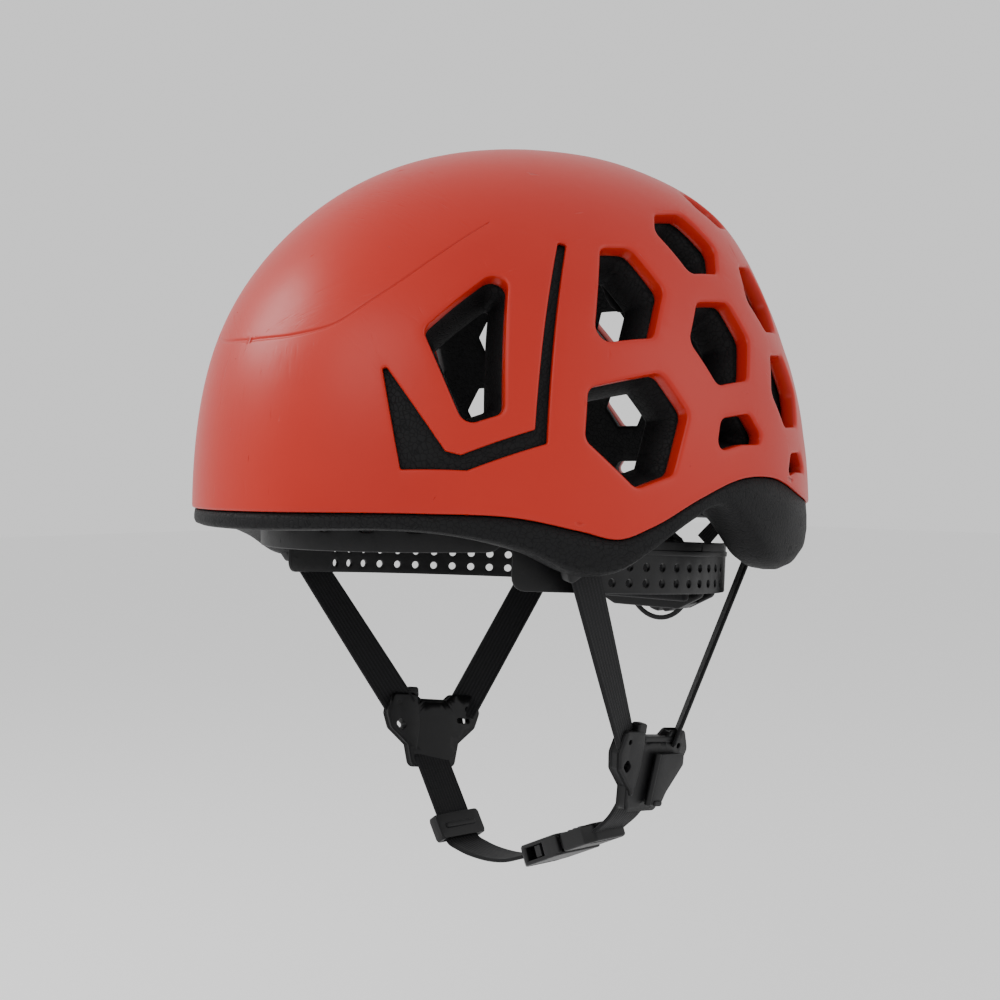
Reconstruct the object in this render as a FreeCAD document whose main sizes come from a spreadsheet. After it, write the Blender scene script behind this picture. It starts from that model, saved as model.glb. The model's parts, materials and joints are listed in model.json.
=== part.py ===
import math
import os
import re

import FreeCAD
import Part
import Sketcher
from FreeCAD import Vector

# Climbing helmet: a vented hard shell over one piece of foam, a head band with a geared rear
# adjuster, webbing with dividers and a chin buckle.
# Frame: +Z up, the front of the helmet faces -Y, the wearer's left is +X. The origin is the
# centre of the head opening, level with the front of the brim. Millimetres.

doc = FreeCAD.newDocument("ClimbingHelmet")
sheet = doc.addObject("Spreadsheet::Sheet", "Sizes")

SIZES = {
    # hard shell
    "shell_width": 210,
    "shell_length": 266,
    "shell_height": 150,
    "widest_back": 16,
    "shell_wall": 2,
    "vent_corner": 4.5,
    "slit_width": 3.2,
    # foam
    "layer_gap": 0.3,
    "foam_wall": 18,
    "foam_inset": 1,
    "foam_step": 0.5,
    "vent_clearance": 0.6,
    # comfort pads
    "pad_wall": 6,
    "pad_gap": 0.6,
    # head band
    "band_side_room": 5.2,
    "band_rear_room": 12.7,
    "band_front_room": 8.7,
    "band_half_width": "=shell_width / 2 - shell_wall - layer_gap - foam_wall - band_side_room",
    "band_rear": "=shell_length / 2 - shell_wall - layer_gap - foam_wall - band_rear_room",
    "band_front": "=shell_length / 2 - shell_wall - layer_gap - foam_wall - band_front_room",
    "band_wall": 1.6,
    "band_depth": 20,
    "band_low": -21,
    "front_band_lift": 14.5,
    "band_hole_radius": 1.6,
    "temple_y": -45,
    "temple_z": -6,
    "pin_radius": 3,
    "pin_head_radius": 5,
    "pin_head_play": 2,
    "pin_seat_depth": 6.5,
    "pin_head_wall": 1.6,
    "pin_clearance": 0.25,
    "clip_room": 2.36,
    "play": 0.4,
    # rear adjuster
    "wheel_inset": 18.5,
    "wheel_y": "=band_rear - wheel_inset",
    "wheel_z": -24,
    "housing_width": 66,
    "housing_depth": 28,
    "housing_wall": 2,
    "cover_wall": 2,
    "bay_depth": 5.2,
    "wheel_radius": 17,
    "wheel_wall": 9,
    "grip_radius": 2.4,
    "grip_count": 12,
    "shaft_radius": 3,
    "shaft_clearance": 0.08,
    "tooth_count": 10,
    "tooth_pitch": 3.14159,
    "rack_length": 52,
    "rack_back": 3.4,
    "rack_gap": 0.4,
    "bay_reach": 10.2,
    "hub_radius": 3.8,
    "tooth_half_root": 0.75,
    "tooth_half_tip": 0.3,
    "tooth_tip": 5.8,
    "rack_line": 6.1,
    "rack_tooth_tip": 4.2,
    "rack_tooth_half": 0.8,
    "rack_overlap": 12,
    "detent_start": 6,
    "detent_length": 9,
    "detent_width": 3,
    "screw_radius": 1.2,
    "screw_head_radius": 2.4,
    "screw_head_wall": 1.2,
    "screw_across": 27,
    "screw_up": 11.9,
    # webbing
    "web_width": 14,
    "web_wall": 1.5,
    "chin_width": 18,
    "anchor_length": 18,
    "anchor_wall": 5,
    "anchor_rise": 9,
    # dividers
    "divider_width": 46,
    "divider_rise": 26,
    "divider_foot": 22,
    "divider_wall": 4,
    "lock_wall": 2.6,
    "lock_gap": 0.7,
    "lock_hinge": 1.5,
    "lock_top": 3.6,
    # chin buckle
    "socket_length": 26,
    "buckle_width": 24,
    "buckle_wall": 8.4,
    "buckle_skin": 1.6,
    "buckle_side": 2.2,
    "tongue_width": 3.4,
    "plug_length": 18,
    "prong_length": 17,
    "prong_wall": 2.4,
    "prong_hook": 3.2,
    "buckle_gap": 0.4,
    # strap slider
    "slider_width": 24,
    "slider_length": 11,
    "slider_skin": 1.4,
    "slider_gap": 0.45,
}
for row, (alias, value) in enumerate(SIZES.items(), start=1):
    sheet.set(f"A{row}", alias)
    sheet.set(f"B{row}", str(value))
    sheet.setAlias(f"B{row}", alias)
doc.recompute()


def size(alias):
    """The value of one named cell."""
    return float(sheet.get(alias))


def bound(expression):
    """The same expression with each name pointing at its cell."""
    return re.sub(
        r"[A-Za-z_]+", lambda word: f"Sizes.{word[0]}" if word[0] in SIZES else word[0], expression
    )


def worked(expression):
    """The number that an expression on the sheet's names gives now."""
    return float(sheet.evalExpression(bound(expression)))


# ---------------------------------------------------------------- placing and drawing helpers


def frame_at(origin, x_axis, y_axis):
    """A placement whose own X and Y run along the two given directions."""
    x = Vector(*x_axis).normalize()
    z = x.cross(Vector(*y_axis)).normalize()
    y = z.cross(x)
    o = Vector(*origin)
    matrix = FreeCAD.Matrix(x.x, y.x, z.x, o.x, x.y, y.y, z.y, o.y, x.z, y.z, z.z, o.z, 0, 0, 0, 1)
    return FreeCAD.Placement(matrix)


def new_body(name, placement=None):
    body = doc.addObject("PartDesign::Body", name)
    body.Label = name
    if placement is not None:
        body.Placement = placement
    return body


def origin_part(body, role):
    """One of the body's own planes or axes, found by its role."""
    return [f for f in body.Origin.OriginFeatures if f.Role == role][0]


def new_sketch(body, name, level):
    """A sketch on the body's own XY plane, raised to a level given as an expression."""
    sketch = body.newObject("Sketcher::SketchObject", name)
    sketch.AttachmentSupport = [(origin_part(body, "XY_Plane"), "")]
    sketch.MapMode = "FlatFace"
    sketch.setExpression("AttachmentOffset.Base.z", bound(level))
    return sketch


def hold_point(sketch, item, which, x, y):
    """Hold a sketch point at two expressions from the sketch's origin."""
    for kind, expression in (("DistanceX", x), ("DistanceY", y)):
        row = sketch.addConstraint(
            Sketcher.Constraint(kind, -1, 1, item, which, worked(expression))
        )
        sketch.setExpression(f"Constraints[{row}]", bound(expression))


def draw_outline(sketch, corners):
    """A closed outline of straight edges through corners given as pairs of expressions."""
    points = [Vector(worked(x), worked(y), 0) for x, y in corners]
    edges = []
    for start, end in zip(points, points[1:] + points[:1]):
        edges.append(sketch.addGeometry(Part.LineSegment(start, end)))
    for edge, following in zip(edges, edges[1:] + edges[:1]):
        sketch.addConstraint(Sketcher.Constraint("Coincident", edge, 2, following, 1))
    for edge, (x, y) in zip(edges, corners):
        hold_point(sketch, edge, 1, x, y)


def draw_circle(sketch, x, y, radius):
    centre = Vector(worked(x), worked(y), 0)
    circle = sketch.addGeometry(Part.Circle(centre, Vector(0, 0, 1), worked(radius)))
    hold_point(sketch, circle, 3, x, y)
    row = sketch.addConstraint(Sketcher.Constraint("Radius", circle, worked(radius)))
    sketch.setExpression(f"Constraints[{row}]", bound(radius))


def block_corners(left, right, low, high):
    return [(left, low), (right, low), (right, high), (left, high)]


def swept(body, kind, name, sketch, length):
    feature = body.newObject(f"PartDesign::{kind}", name)
    feature.Profile = sketch
    feature.setExpression("Length", bound(length))
    sketch.Visibility = False
    return feature


def pad(body, name, corners, level, length):
    """Material drawn at a level and raised by a length."""
    sketch = new_sketch(body, f"{name}_sketch", level)
    draw_outline(sketch, corners)
    return swept(body, "Pad", name, sketch, length)


def pad_round(body, name, x, y, radius, level, length):
    sketch = new_sketch(body, f"{name}_sketch", level)
    draw_circle(sketch, x, y, radius)
    return swept(body, "Pad", name, sketch, length)


def pocket(body, name, corners, top, depth):
    """A cut that starts at the top level and goes down by a depth."""
    sketch = new_sketch(body, f"{name}_sketch", top)
    draw_outline(sketch, corners)
    return swept(body, "Pocket", name, sketch, depth)


def pocket_round(body, name, x, y, radius, top, depth):
    sketch = new_sketch(body, f"{name}_sketch", top)
    draw_circle(sketch, x, y, radius)
    return swept(body, "Pocket", name, sketch, depth)


def repeated_round(body, name, feature, count):
    pattern = body.newObject("PartDesign::PolarPattern", name)
    pattern.Originals = [feature]
    pattern.Axis = (origin_part(body, "Z_Axis"), [""])
    pattern.Angle = 360
    pattern.setExpression("Occurrences", bound(count))
    body.Tip = pattern
    return pattern


def repeated_along(body, name, feature, count, length):
    pattern = body.newObject("PartDesign::LinearPattern", name)
    pattern.Originals = [feature]
    pattern.Direction = (origin_part(body, "X_Axis"), [""])
    pattern.Occurrences = count
    pattern.setExpression("Length", bound(length))
    body.Tip = pattern
    return pattern


def mirrored(source, name):
    """The same piece on the other side of the helmet."""
    twin = doc.addObject("Part::Mirroring", name)
    twin.Label = name
    twin.Source = source
    twin.Normal = (1, 0, 0)
    return twin


def shaped(name, shape):
    """A piece whose shape comes straight from surfaces that no sketch can hold."""
    piece = doc.addObject("Part::Feature", name)
    piece.Label = name
    piece.Shape = shape
    return piece


pieces = []

# ---------------------------------------------------------------- the dome and its layers

HALF_WIDTH = size("shell_width") / 2
HALF_LENGTH = size("shell_length") / 2
HEIGHT = size("shell_height")
MIDDLE = Vector(0, size("widest_back"), 0)

# roundness of the outline seen from above, and of the front, side and back seen from the side
PLAN_POWER = 2.05
FRONT_POWER, SIDE_POWER, BACK_POWER = 2.3, 2.25, 2.15
# the two gentle swellings: height in mm, elevation and spread in degrees
CROWN_SWELL = (3.9, 58.7, 11.2)
BROW_SWELL = (1.8, 30.0, 15.0)


def direction(azimuth, elevation):
    """Unit direction: azimuth 0 is the front, 90 the wearer's left, in degrees."""
    a, e = math.radians(azimuth), math.radians(elevation)
    return Vector(math.sin(a) * math.cos(e), -math.cos(a) * math.cos(e), math.sin(e))


def reach(d):
    """Distance from the dome's middle to its outside along a direction."""
    length = HALF_LENGTH + MIDDLE.y if d.y < 0 else HALF_LENGTH - MIDDLE.y
    flat = math.hypot(d.x, d.y)
    backness = d.y / flat if flat > 1e-9 else 0.0
    end_power = FRONT_POWER if d.y < 0 else BACK_POWER
    power = SIDE_POWER + (end_power - SIDE_POWER) * backness**2
    plan = ((abs(d.x) / HALF_WIDTH) ** PLAN_POWER + (abs(d.y) / length) ** PLAN_POWER) ** (
        1 / PLAN_POWER
    )
    r = (plan**power + (abs(d.z) / HEIGHT) ** power) ** (-1 / power)
    share = 0.5 + 0.5 * backness
    share = share * share * (3 - 2 * share)
    elevation = math.degrees(math.asin(max(-1.0, min(1.0, d.z))))
    rise, middle, spread = CROWN_SWELL
    r += rise * math.exp(-(((elevation - middle) / spread) ** 2)) * share
    rise, middle, spread = BROW_SWELL
    r += rise * math.exp(-(((elevation - middle) / spread) ** 2)) * (1 - share)
    return r


def from_top(lean_x, lean_y):
    """Direction reached by leaning from straight up by two angles in degrees."""
    lean = math.radians(math.hypot(lean_x, lean_y))
    if lean < 1e-9:
        return Vector(0, 0, 1)
    turn = math.atan2(lean_y, lean_x)
    return Vector(
        math.sin(lean) * math.cos(turn), math.sin(lean) * math.sin(turn), math.cos(lean)
    )


def dome_point(lean_x, lean_y, depth):
    """A point a given depth under the dome's outside, square to it."""
    step = 0.2
    here = from_top(lean_x, lean_y)
    p = MIDDLE + here * reach(here)
    ends = []
    for dx, dy in ((step, 0), (-step, 0), (0, step), (0, -step)):
        d = from_top(lean_x + dx, lean_y + dy)
        ends.append(MIDDLE + d * reach(d))
    normal = (ends[0] - ends[1]).cross(ends[2] - ends[3]).normalize()
    return p - normal * depth


def on_dome(azimuth, elevation, depth=0.0):
    """The dome's outside in a direction, or a depth under it."""
    lean = 90 - elevation
    a = math.radians(azimuth)
    return dome_point(lean * math.sin(a), -lean * math.cos(a), depth)


LEAN_LIMIT = 108
LEAN_STEPS = 28


def dome_surface(depth):
    leans = [-LEAN_LIMIT + 2 * LEAN_LIMIT * i / LEAN_STEPS for i in range(LEAN_STEPS + 1)]
    grid = [[dome_point(x, y, depth) for y in leans] for x in leans]
    surface = Part.BSplineSurface()
    surface.interpolate(grid)
    return surface


def dome_layer(outer_depth, inner_depth):
    """The closed solid between two depths under the dome's outside."""
    outer, inner = dome_surface(outer_depth), dome_surface(inner_depth)
    faces = [outer.toShape(), inner.toShape()]
    u0, u1, v0, v1 = outer.bounds()
    for value in (u0, u1):
        faces.append(Part.makeRuledSurface(outer.uIso(value).toShape(), inner.uIso(value).toShape()))
    for value in (v0, v1):
        faces.append(Part.makeRuledSurface(outer.vIso(value).toShape(), inner.vIso(value).toShape()))
    skin = Part.makeShell(faces)
    skin.sewShape()
    solid = Part.makeSolid(skin)
    if solid.Volume < 0:
        solid.reverse()
    return solid


# The brim seen from the side. Stations run along the length as shares of the half length from
# the origin, negative to the front; heights are in mm.
SHELL_EDGE = [
    (-1.15, 8), (-0.75, 8), (-0.55, 6.4), (-0.38, 1.4), (-0.27, -1.7), (-0.17, 2.2),
    (0.0, 12), (0.17, 19), (0.32, 19.5), (0.57, 11.5), (0.8, 7.5), (1.15, 7),
]
FOAM_EDGE = [
    (-1.15, 0.5), (-0.7, 0.3), (-0.52, -6), (-0.36, -15), (-0.26, -14), (-0.16, -7),
    (-0.02, 3.5), (0.1, 9), (0.19, 2), (0.32, -12.5), (0.44, -17), (0.6, -13.5), (0.8, -2),
    (0.95, -0.5), (1.15, -0.5),
]


def under_edge(stations, drop=0.0):
    """Everything below one of the brim's edges."""
    points = [Vector(0, share * HALF_LENGTH, z - drop) for share, z in stations]
    curve = Part.BSplineCurve()
    curve.interpolate(points)
    floor = -HEIGHT
    start, end = points[0], points[-1]
    low_start, low_end = Vector(0, start.y, floor), Vector(0, end.y, floor)
    wire = Part.Wire([
        curve.toShape(),
        Part.makeLine(end, low_end),
        Part.makeLine(low_end, low_start),
        Part.makeLine(low_start, start),
    ])
    face = Part.Face(wire)
    face.translate(Vector(-1.5 * HALF_WIDTH, 0, 0))
    return face.extrude(Vector(3 * HALF_WIDTH, 0, 0))


# ---------------------------------------------------------------- vents

# Corners of the openings on the wearer's left, as azimuth and elevation in degrees.
WINDOW = [(29, 29.5), (42, 43), (42, 19), (36, 16.5)]
FRONT_SLOT = [(23.5, 24.5), (27.2, 9.8), (35.5, 10.6)]
SLIT = [(34.5, 10.6), (47.8, 15.8), (52.8, 48.5)]
HONEYCOMB = [
    [(62.5, 49.5), (71, 50.6), (77.8, 44), (72, 35), (58, 32)],
    [(56.5, 24.7), (72.7, 29), (79, 22.3), (74.4, 11), (65.8, 8.3), (55.7, 16.2)],
    [(85, 58.4), (97, 59), (104, 52.5), (99.4, 48), (88.4, 47.7), (81.4, 54.6)],
    [(87.7, 42.6), (99.5, 43), (103.6, 36.7), (99, 29), (88.4, 27.8), (82, 35.3)],
    [(88.3, 21.8), (97.9, 22.8), (103.3, 17), (94, 17), (86.3, 15.5)],
]
# Further back the cells are regular: azimuth, elevation and corner radius in mm.
REAR_CELLS = [
    (120.5, 61, 12), (119, 44, 15), (117.5, 27, 16),
    (139.5, 52.5, 14), (138.5, 35.5, 15.5), (138.5, 18.5, 14),
    (160, 60.5, 12), (159.5, 43.5, 15), (159.5, 26.5, 15.5),
]
CENTRE_CELLS = [(180, 52, 14), (180, 35, 15.5), (180, 18, 14)]
LOW_CELLS = [
    [(115.5, 15), (122.5, 15), (126, 10.8), (119, 11.2), (112.8, 10.4)],
    [(156, 14), (163, 14), (166, 9.6), (159.5, 9.8), (153, 9.6)],
]


def rounded_wire(points, radius):
    """A closed wire through flat corners, each rounded as far as its edges allow."""
    cuts = []
    count = len(points)
    for i, corner in enumerate(points):
        before, after = points[i - 1] - corner, points[(i + 1) % count] - corner
        room = 0.42 * min(before.Length, after.Length)
        a, b = before.normalize(), after.normalize()
        half = 0.5 * a.getAngle(b)
        run = min(radius / math.tan(half), room)
        bulge = run * math.tan(half)
        to_centre = (a + b).normalize()
        middle = corner + to_centre * (run / math.cos(half) - bulge)
        cuts.append((corner + a * run, middle, corner + b * run))
    edges = []
    for i, (start, middle, end) in enumerate(cuts):
        edges.append(Part.Arc(start, middle, end).toShape())
        edges.append(Part.makeLine(end, cuts[(i + 1) % count][0]))
    return Part.Wire(edges)


def vent_basis(points):
    """The middle of an opening and the directions across, up and out of it."""
    middle = Vector()
    for p in points:
        middle += p * (1 / len(points))
    out = (middle - MIDDLE).normalize()
    across = Vector(0, 0, 1).cross(out).normalize()
    return middle, across, out.cross(across), out


def vent_cutter(points, grow, radius):
    """A straight-walled plug through shell and foam, grown outwards by a margin."""
    middle, across, up, out = vent_basis(points)
    flat = [p - out * (p - middle).dot(out) for p in points]
    depth = size("foam_wall") + 30
    wire = rounded_wire(flat, radius)
    if grow > 0:
        wire = wire.makeOffset2D(grow)
    face = Part.Face(wire)
    face.translate(out * -depth)
    return face.extrude(out * 2 * depth)


def cell_points(azimuth, elevation, radius):
    middle = on_dome(azimuth, elevation)
    out = (middle - MIDDLE).normalize()
    across = Vector(0, 0, 1).cross(out).normalize()
    up = out.cross(across)
    corners = []
    for k in range(6):
        turn = math.radians(60 * k)
        corners.append(middle + across * (radius * math.cos(turn)) + up * (radius * math.sin(turn)))
    return corners


def slit_cutter(grow):
    """The narrow slit that frees the headlamp tongue: two straight runs of even width."""
    half = size("slit_width") / 2 + grow
    runs = []
    for start, end in zip(SLIT, SLIT[1:]):
        a, b = on_dome(*start), on_dome(*end)
        along = (b - a).normalize()
        out = ((a + b) * 0.5 - MIDDLE).normalize()
        side = out.cross(along).normalize()
        a, b = a - along * half, b + along * half
        corners = [a + side * half, b + side * half, b - side * half, a - side * half]
        out = side.cross(along).normalize() * -1
        middle = (a + b) * 0.5
        depth = size("foam_wall") + 8
        face = Part.Face(Part.makePolygon(corners + corners[:1]))
        lift = out if out.dot(middle - MIDDLE) > 0 else out * -1
        face.translate(lift * -depth)
        runs.append(face.extrude(lift * 2 * depth))
    return runs


def vent_cutters(grow):
    """Every opening of both sides, as separate plugs."""
    radius = size("vent_corner")
    left = [vent_cutter([on_dome(*c) for c in WINDOW], grow, radius)]
    left.append(vent_cutter([on_dome(*c) for c in FRONT_SLOT], grow, radius / 3))
    left += slit_cutter(grow)
    for corners in HONEYCOMB + LOW_CELLS:
        left.append(vent_cutter([on_dome(*c) for c in corners], grow, radius))
    for azimuth, elevation, cell in REAR_CELLS:
        left.append(vent_cutter(cell_points(azimuth, elevation, cell), grow, radius))
    right = [c.mirror(Vector(), Vector(1, 0, 0)) for c in left]
    centre = [
        vent_cutter(cell_points(azimuth, elevation, cell), grow, radius)
        for azimuth, elevation, cell in CENTRE_CELLS
    ]
    return left + right + centre


# ---------------------------------------------------------------- shell and foam

FOAM_TOP = size("shell_wall") + size("layer_gap")
FOAM_BOTTOM = FOAM_TOP + size("foam_wall")

shell_shape = dome_layer(0, size("shell_wall")).cut(under_edge(SHELL_EDGE))
shell_shape = shell_shape.cut(vent_cutters(0))
outer_shell = shaped("outer_shell", shell_shape)
pieces.append(outer_shell)

shell_room = dome_layer(-5, FOAM_TOP).cut(under_edge(SHELL_EDGE, size("foam_step")))
foam_shape = dome_layer(size("foam_inset"), FOAM_BOTTOM).cut(under_edge(FOAM_EDGE))
foam_shape = foam_shape.cut(shell_room)
foam_shape = foam_shape.cut(vent_cutters(size("vent_clearance")))

# ---------------------------------------------------------------- webbing paths

EAR_FRONT = Vector(68, -1, -80)
EAR_REAR = Vector(63, 31, -84)
FOOT = Vector(62, 11, -105)
CHIN_Y = 11


def fitted(share_x, share_y, z):
    """A point placed by shares of the half width and half length."""
    return Vector(share_x * HALF_WIDTH, share_y * HALF_LENGTH, z)


FRONT_ANCHOR = fitted(0.81, -0.3, -13)
REAR_ANCHOR = fitted(0.55, 0.66, -4)


def strap_between(start, end, start_width, end_width, width):
    """Flat webbing between two points; its width may turn on the way."""
    along = (end - start).normalize()
    wires = []
    for point, across in ((start, start_width), (end, end_width)):
        side = (across - along * across.dot(along)).normalize() * (width / 2)
        face = along.cross(side).normalize() * (size("web_wall") / 2)
        corners = [point + side + face, point - side + face, point - side - face, point + side - face]
        wires.append(Part.makePolygon(corners + corners[:1]))
    return Part.makeLoft(wires, True, True)


def anchor_block(point, along_rim, up):
    """A moulded anchor whose foot is where the webbing leaves it."""
    place = frame_at(point, along_rim, up)
    length, wall, rise = size("anchor_length"), size("anchor_wall"), size("anchor_rise")
    block = Part.makeBox(length, rise, wall, Vector(-length / 2, 0, -wall / 2))
    block.Placement = place
    return block


def anchor_pocket(point, along_rim, up):
    place = frame_at(point, along_rim, up)
    gap = size("layer_gap")
    length, wall, rise = size("anchor_length"), size("anchor_wall"), size("anchor_rise")
    block = Part.makeBox(
        length + 2 * gap, rise + gap + 40, wall + 2 * gap, Vector(-length / 2 - gap, -40, -wall / 2 - gap)
    )
    block.Placement = place
    return block


front_up = (FRONT_ANCHOR - EAR_FRONT).normalize()
rear_up = (REAR_ANCHOR - EAR_REAR).normalize()
FRONT_RIM = Vector(0.12, 0.87, 0.48)
REAR_RIM = Vector(0.79, -0.46, 0.40)

MIRROR = (Vector(), Vector(1, 0, 0))
front_anchor = anchor_block(FRONT_ANCHOR, FRONT_RIM, front_up)
rear_anchor = anchor_block(REAR_ANCHOR, REAR_RIM, rear_up)
for name, block in (("front_anchors", front_anchor), ("rear_anchors", rear_anchor)):
    pieces.append(shaped(name, Part.makeCompound([block, block.mirror(*MIRROR)])))

pockets = [
    anchor_pocket(FRONT_ANCHOR, FRONT_RIM, front_up),
    anchor_pocket(REAR_ANCHOR, REAR_RIM, rear_up),
]
pockets += [p.mirror(*MIRROR) for p in pockets]

EAR_OVERLAP = 3
FRONT_EAR_LIE = Vector(-0.3, 0.8, 0.3)
REAR_EAR_LIE = Vector(0.75, -0.5, 0.4)
front_strap = strap_between(
    FRONT_ANCHOR - front_up * size("layer_gap"), EAR_FRONT - front_up * EAR_OVERLAP,
    FRONT_RIM, FRONT_EAR_LIE, size("web_width"),
)
rear_strap = strap_between(
    REAR_ANCHOR - rear_up * size("layer_gap"), EAR_REAR - rear_up * EAR_OVERLAP,
    REAR_RIM, REAR_EAR_LIE, size("web_width"),
)
pieces.append(shaped("strap_front_left", front_strap))
pieces.append(shaped("strap_front_right", front_strap.mirror(*MIRROR)))
pieces.append(shaped("strap_rear_left", rear_strap))
pieces.append(shaped("strap_rear_right", rear_strap.mirror(*MIRROR)))

# ---------------------------------------------------------------- head band

BAND_REAR, BAND_FRONT = size("band_rear"), size("band_front")
BAND_MIDDLE = -8
CRADLE_SIDE = size("housing_width") / 2 + 8


def band_point(turn, offset=0.0):
    """A point of the head band seen from above: turn 0 is the left side, 90 the rear."""
    a = math.radians(turn)
    reach_y = BAND_REAR - BAND_MIDDLE if turn > 0 else BAND_FRONT + BAND_MIDDLE
    return Vector(
        (size("band_half_width") + offset) * math.cos(a),
        BAND_MIDDLE + (reach_y + offset) * math.sin(a),
        0,
    )


def band_strip(turn_start, turn_end, low, high, wall, inset=0.0):
    """An upright strip that follows the head band."""
    steps = 12
    turns = [turn_start + (turn_end - turn_start) * i / steps for i in range(steps + 1)]
    outer = Part.BSplineCurve()
    outer.interpolate([band_point(t, wall / 2 - inset) for t in turns])
    inner = Part.BSplineCurve()
    inner.interpolate([band_point(t, -wall / 2 - inset) for t in turns])
    a, b = outer.value(outer.FirstParameter), outer.value(outer.LastParameter)
    c, d = inner.value(inner.FirstParameter), inner.value(inner.LastParameter)
    wire = Part.Wire([outer.toShape(), Part.makeLine(b, d), inner.toShape(), Part.makeLine(c, a)])
    face = Part.Face(wire)
    face.translate(Vector(0, 0, low))
    return face.extrude(Vector(0, 0, high - low))


def turn_at_y(y):
    reach_y = BAND_REAR - BAND_MIDDLE if y > BAND_MIDDLE else BAND_FRONT + BAND_MIDDLE
    return math.degrees(math.asin((y - BAND_MIDDLE) / reach_y))


TEMPLE_TURN = turn_at_y(size("temple_y"))
TEMPLE = band_point(TEMPLE_TURN)
TEMPLE_END = TEMPLE_TURN - 9
REAR_TURN = math.degrees(math.acos(CRADLE_SIDE / size("band_half_width")))
BAND_LOW = size("band_low")
BAND_HIGH = BAND_LOW + size("band_depth")
BAND_SLOPE = -3.5

band_shape = band_strip(TEMPLE_END, REAR_TURN, BAND_LOW, BAND_HIGH, size("band_wall"))
eye = Part.makeCylinder(
    size("pin_radius") + size("pin_clearance"), 20,
    Vector(TEMPLE.x - 10, TEMPLE.y, size("temple_z")), Vector(1, 0, 0),
)
band_shape.rotate(Vector(0, TEMPLE.y, size("temple_z")), Vector(1, 0, 0), BAND_SLOPE)
band_shape = band_shape.cut(eye)
HOLE_TURNS = range(-12, 40, 5)
holes = []
for turn in HOLE_TURNS:
    p = band_point(turn)
    out = Vector(p.x, p.y - BAND_MIDDLE, 0).normalize()
    for level in (0.2, 0.5):
        z = BAND_LOW + level * size("band_depth") + (p.y - TEMPLE.y) * math.tan(math.radians(BAND_SLOPE))
        holes.append(
            Part.makeCylinder(size("band_hole_radius"), 10, Vector(p.x, p.y, z) - out * 5, out)
        )
band_shape = band_shape.cut(holes)
pieces.append(shaped("side_band_left", band_shape))
pieces.append(shaped("side_band_right", band_shape.mirror(*MIRROR)))

FRONT_LOW = BAND_LOW + size("front_band_lift")
FRONT_HIGH = FRONT_LOW + size("band_depth")
front_band = band_strip(-180 - TEMPLE_END + 2, TEMPLE_END - 2, FRONT_LOW, FRONT_HIGH, size("band_wall"))
pieces.append(shaped("headband_front", front_band))

pin_start = TEMPLE.x - size("band_wall") / 2 - size("pin_head_play") - size("pin_head_wall")
pin_end = TEMPLE.x + size("pin_seat_depth")
pin_axis = Vector(1, 0, 0)
pin_foot = Vector(pin_start, TEMPLE.y, size("temple_z"))
pin_hole = Part.makeCylinder(size("pin_radius"), pin_end - pin_start, pin_foot, pin_axis)
pin_head = Part.makeCylinder(size("pin_head_radius"), size("pin_head_wall"), pin_foot, pin_axis)
pin = pin_hole.fuse(pin_head).removeSplitter()
pieces.append(shaped("temple_pins", Part.makeCompound([pin, pin.mirror(*MIRROR)])))
pockets += [pin_hole, pin_hole.mirror(*MIRROR)]

foam_shape = foam_shape.cut(pockets)
foam_liner = shaped("foam_liner", foam_shape)
pieces.append(foam_liner)

# ---------------------------------------------------------------- comfort pads

PAD_TOP = FOAM_BOTTOM + size("pad_gap")
pad_layer = dome_layer(PAD_TOP, PAD_TOP + size("pad_wall"))


def pad_plug(azimuth, elevation, half_across, half_up):
    """A straight plug in a direction, used to cut one pad out of the pad layer."""
    middle = on_dome(azimuth, elevation, PAD_TOP)
    out = (middle - MIDDLE).normalize()
    up = Vector(0, 0, 1) if abs(out.z) < 0.9 else Vector(0, 1, 0)
    across = up.cross(out).normalize()
    up = out.cross(across)
    flat = [
        middle + across * (half_across * sx) + up * (half_up * sy)
        for sx, sy in ((-1, -1), (1, -1), (1, 1), (-1, 1))
    ]
    face = Part.Face(rounded_wire(flat, 8))
    face.translate(out * -20)
    return face.extrude(out * 40)


pieces.append(shaped("brow_pad", pad_layer.common(pad_plug(0, 14, 52, 9))))
pieces.append(shaped("crown_pad_centre", pad_layer.common(pad_plug(0, 88, 11, 52))))
crown_pad = pad_layer.common(pad_plug(74, 62, 34, 9))
pieces.append(shaped("crown_pad_left", crown_pad))
pieces.append(shaped("crown_pad_right", crown_pad.mirror(*MIRROR)))

# ---------------------------------------------------------------- rear adjuster

# Every piece of the adjuster is drawn looking from inside the helmet: its own X runs to the
# wearer's right, its Y up and its Z to the rear. Level 0 is the inner face of the housing.
cradle_place = frame_at((0, size("wheel_y"), size("wheel_z")), (-1, 0, 0), (0, 0, 1))

cradle_housing = new_body("cradle_housing", cradle_place)
pad(
    cradle_housing, "tray",
    [
        ("-housing_width / 2", "-housing_depth / 2 + 6"), ("-housing_width / 2 + 14", "-housing_depth / 2"),
        ("housing_width / 2 - 14", "-housing_depth / 2"), ("housing_width / 2", "-housing_depth / 2 + 6"),
        ("housing_width / 2", "housing_depth / 2"), ("-housing_width / 2", "housing_depth / 2"),
    ],
    "0", "housing_wall + bay_depth",
)
pocket(
    cradle_housing, "rack_bay",
    block_corners("-housing_width / 2 - 1", "housing_width / 2 + 1", "-bay_reach", "bay_reach"),
    "housing_wall + bay_depth", "bay_depth",
)
pieces.append(cradle_housing)

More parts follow.
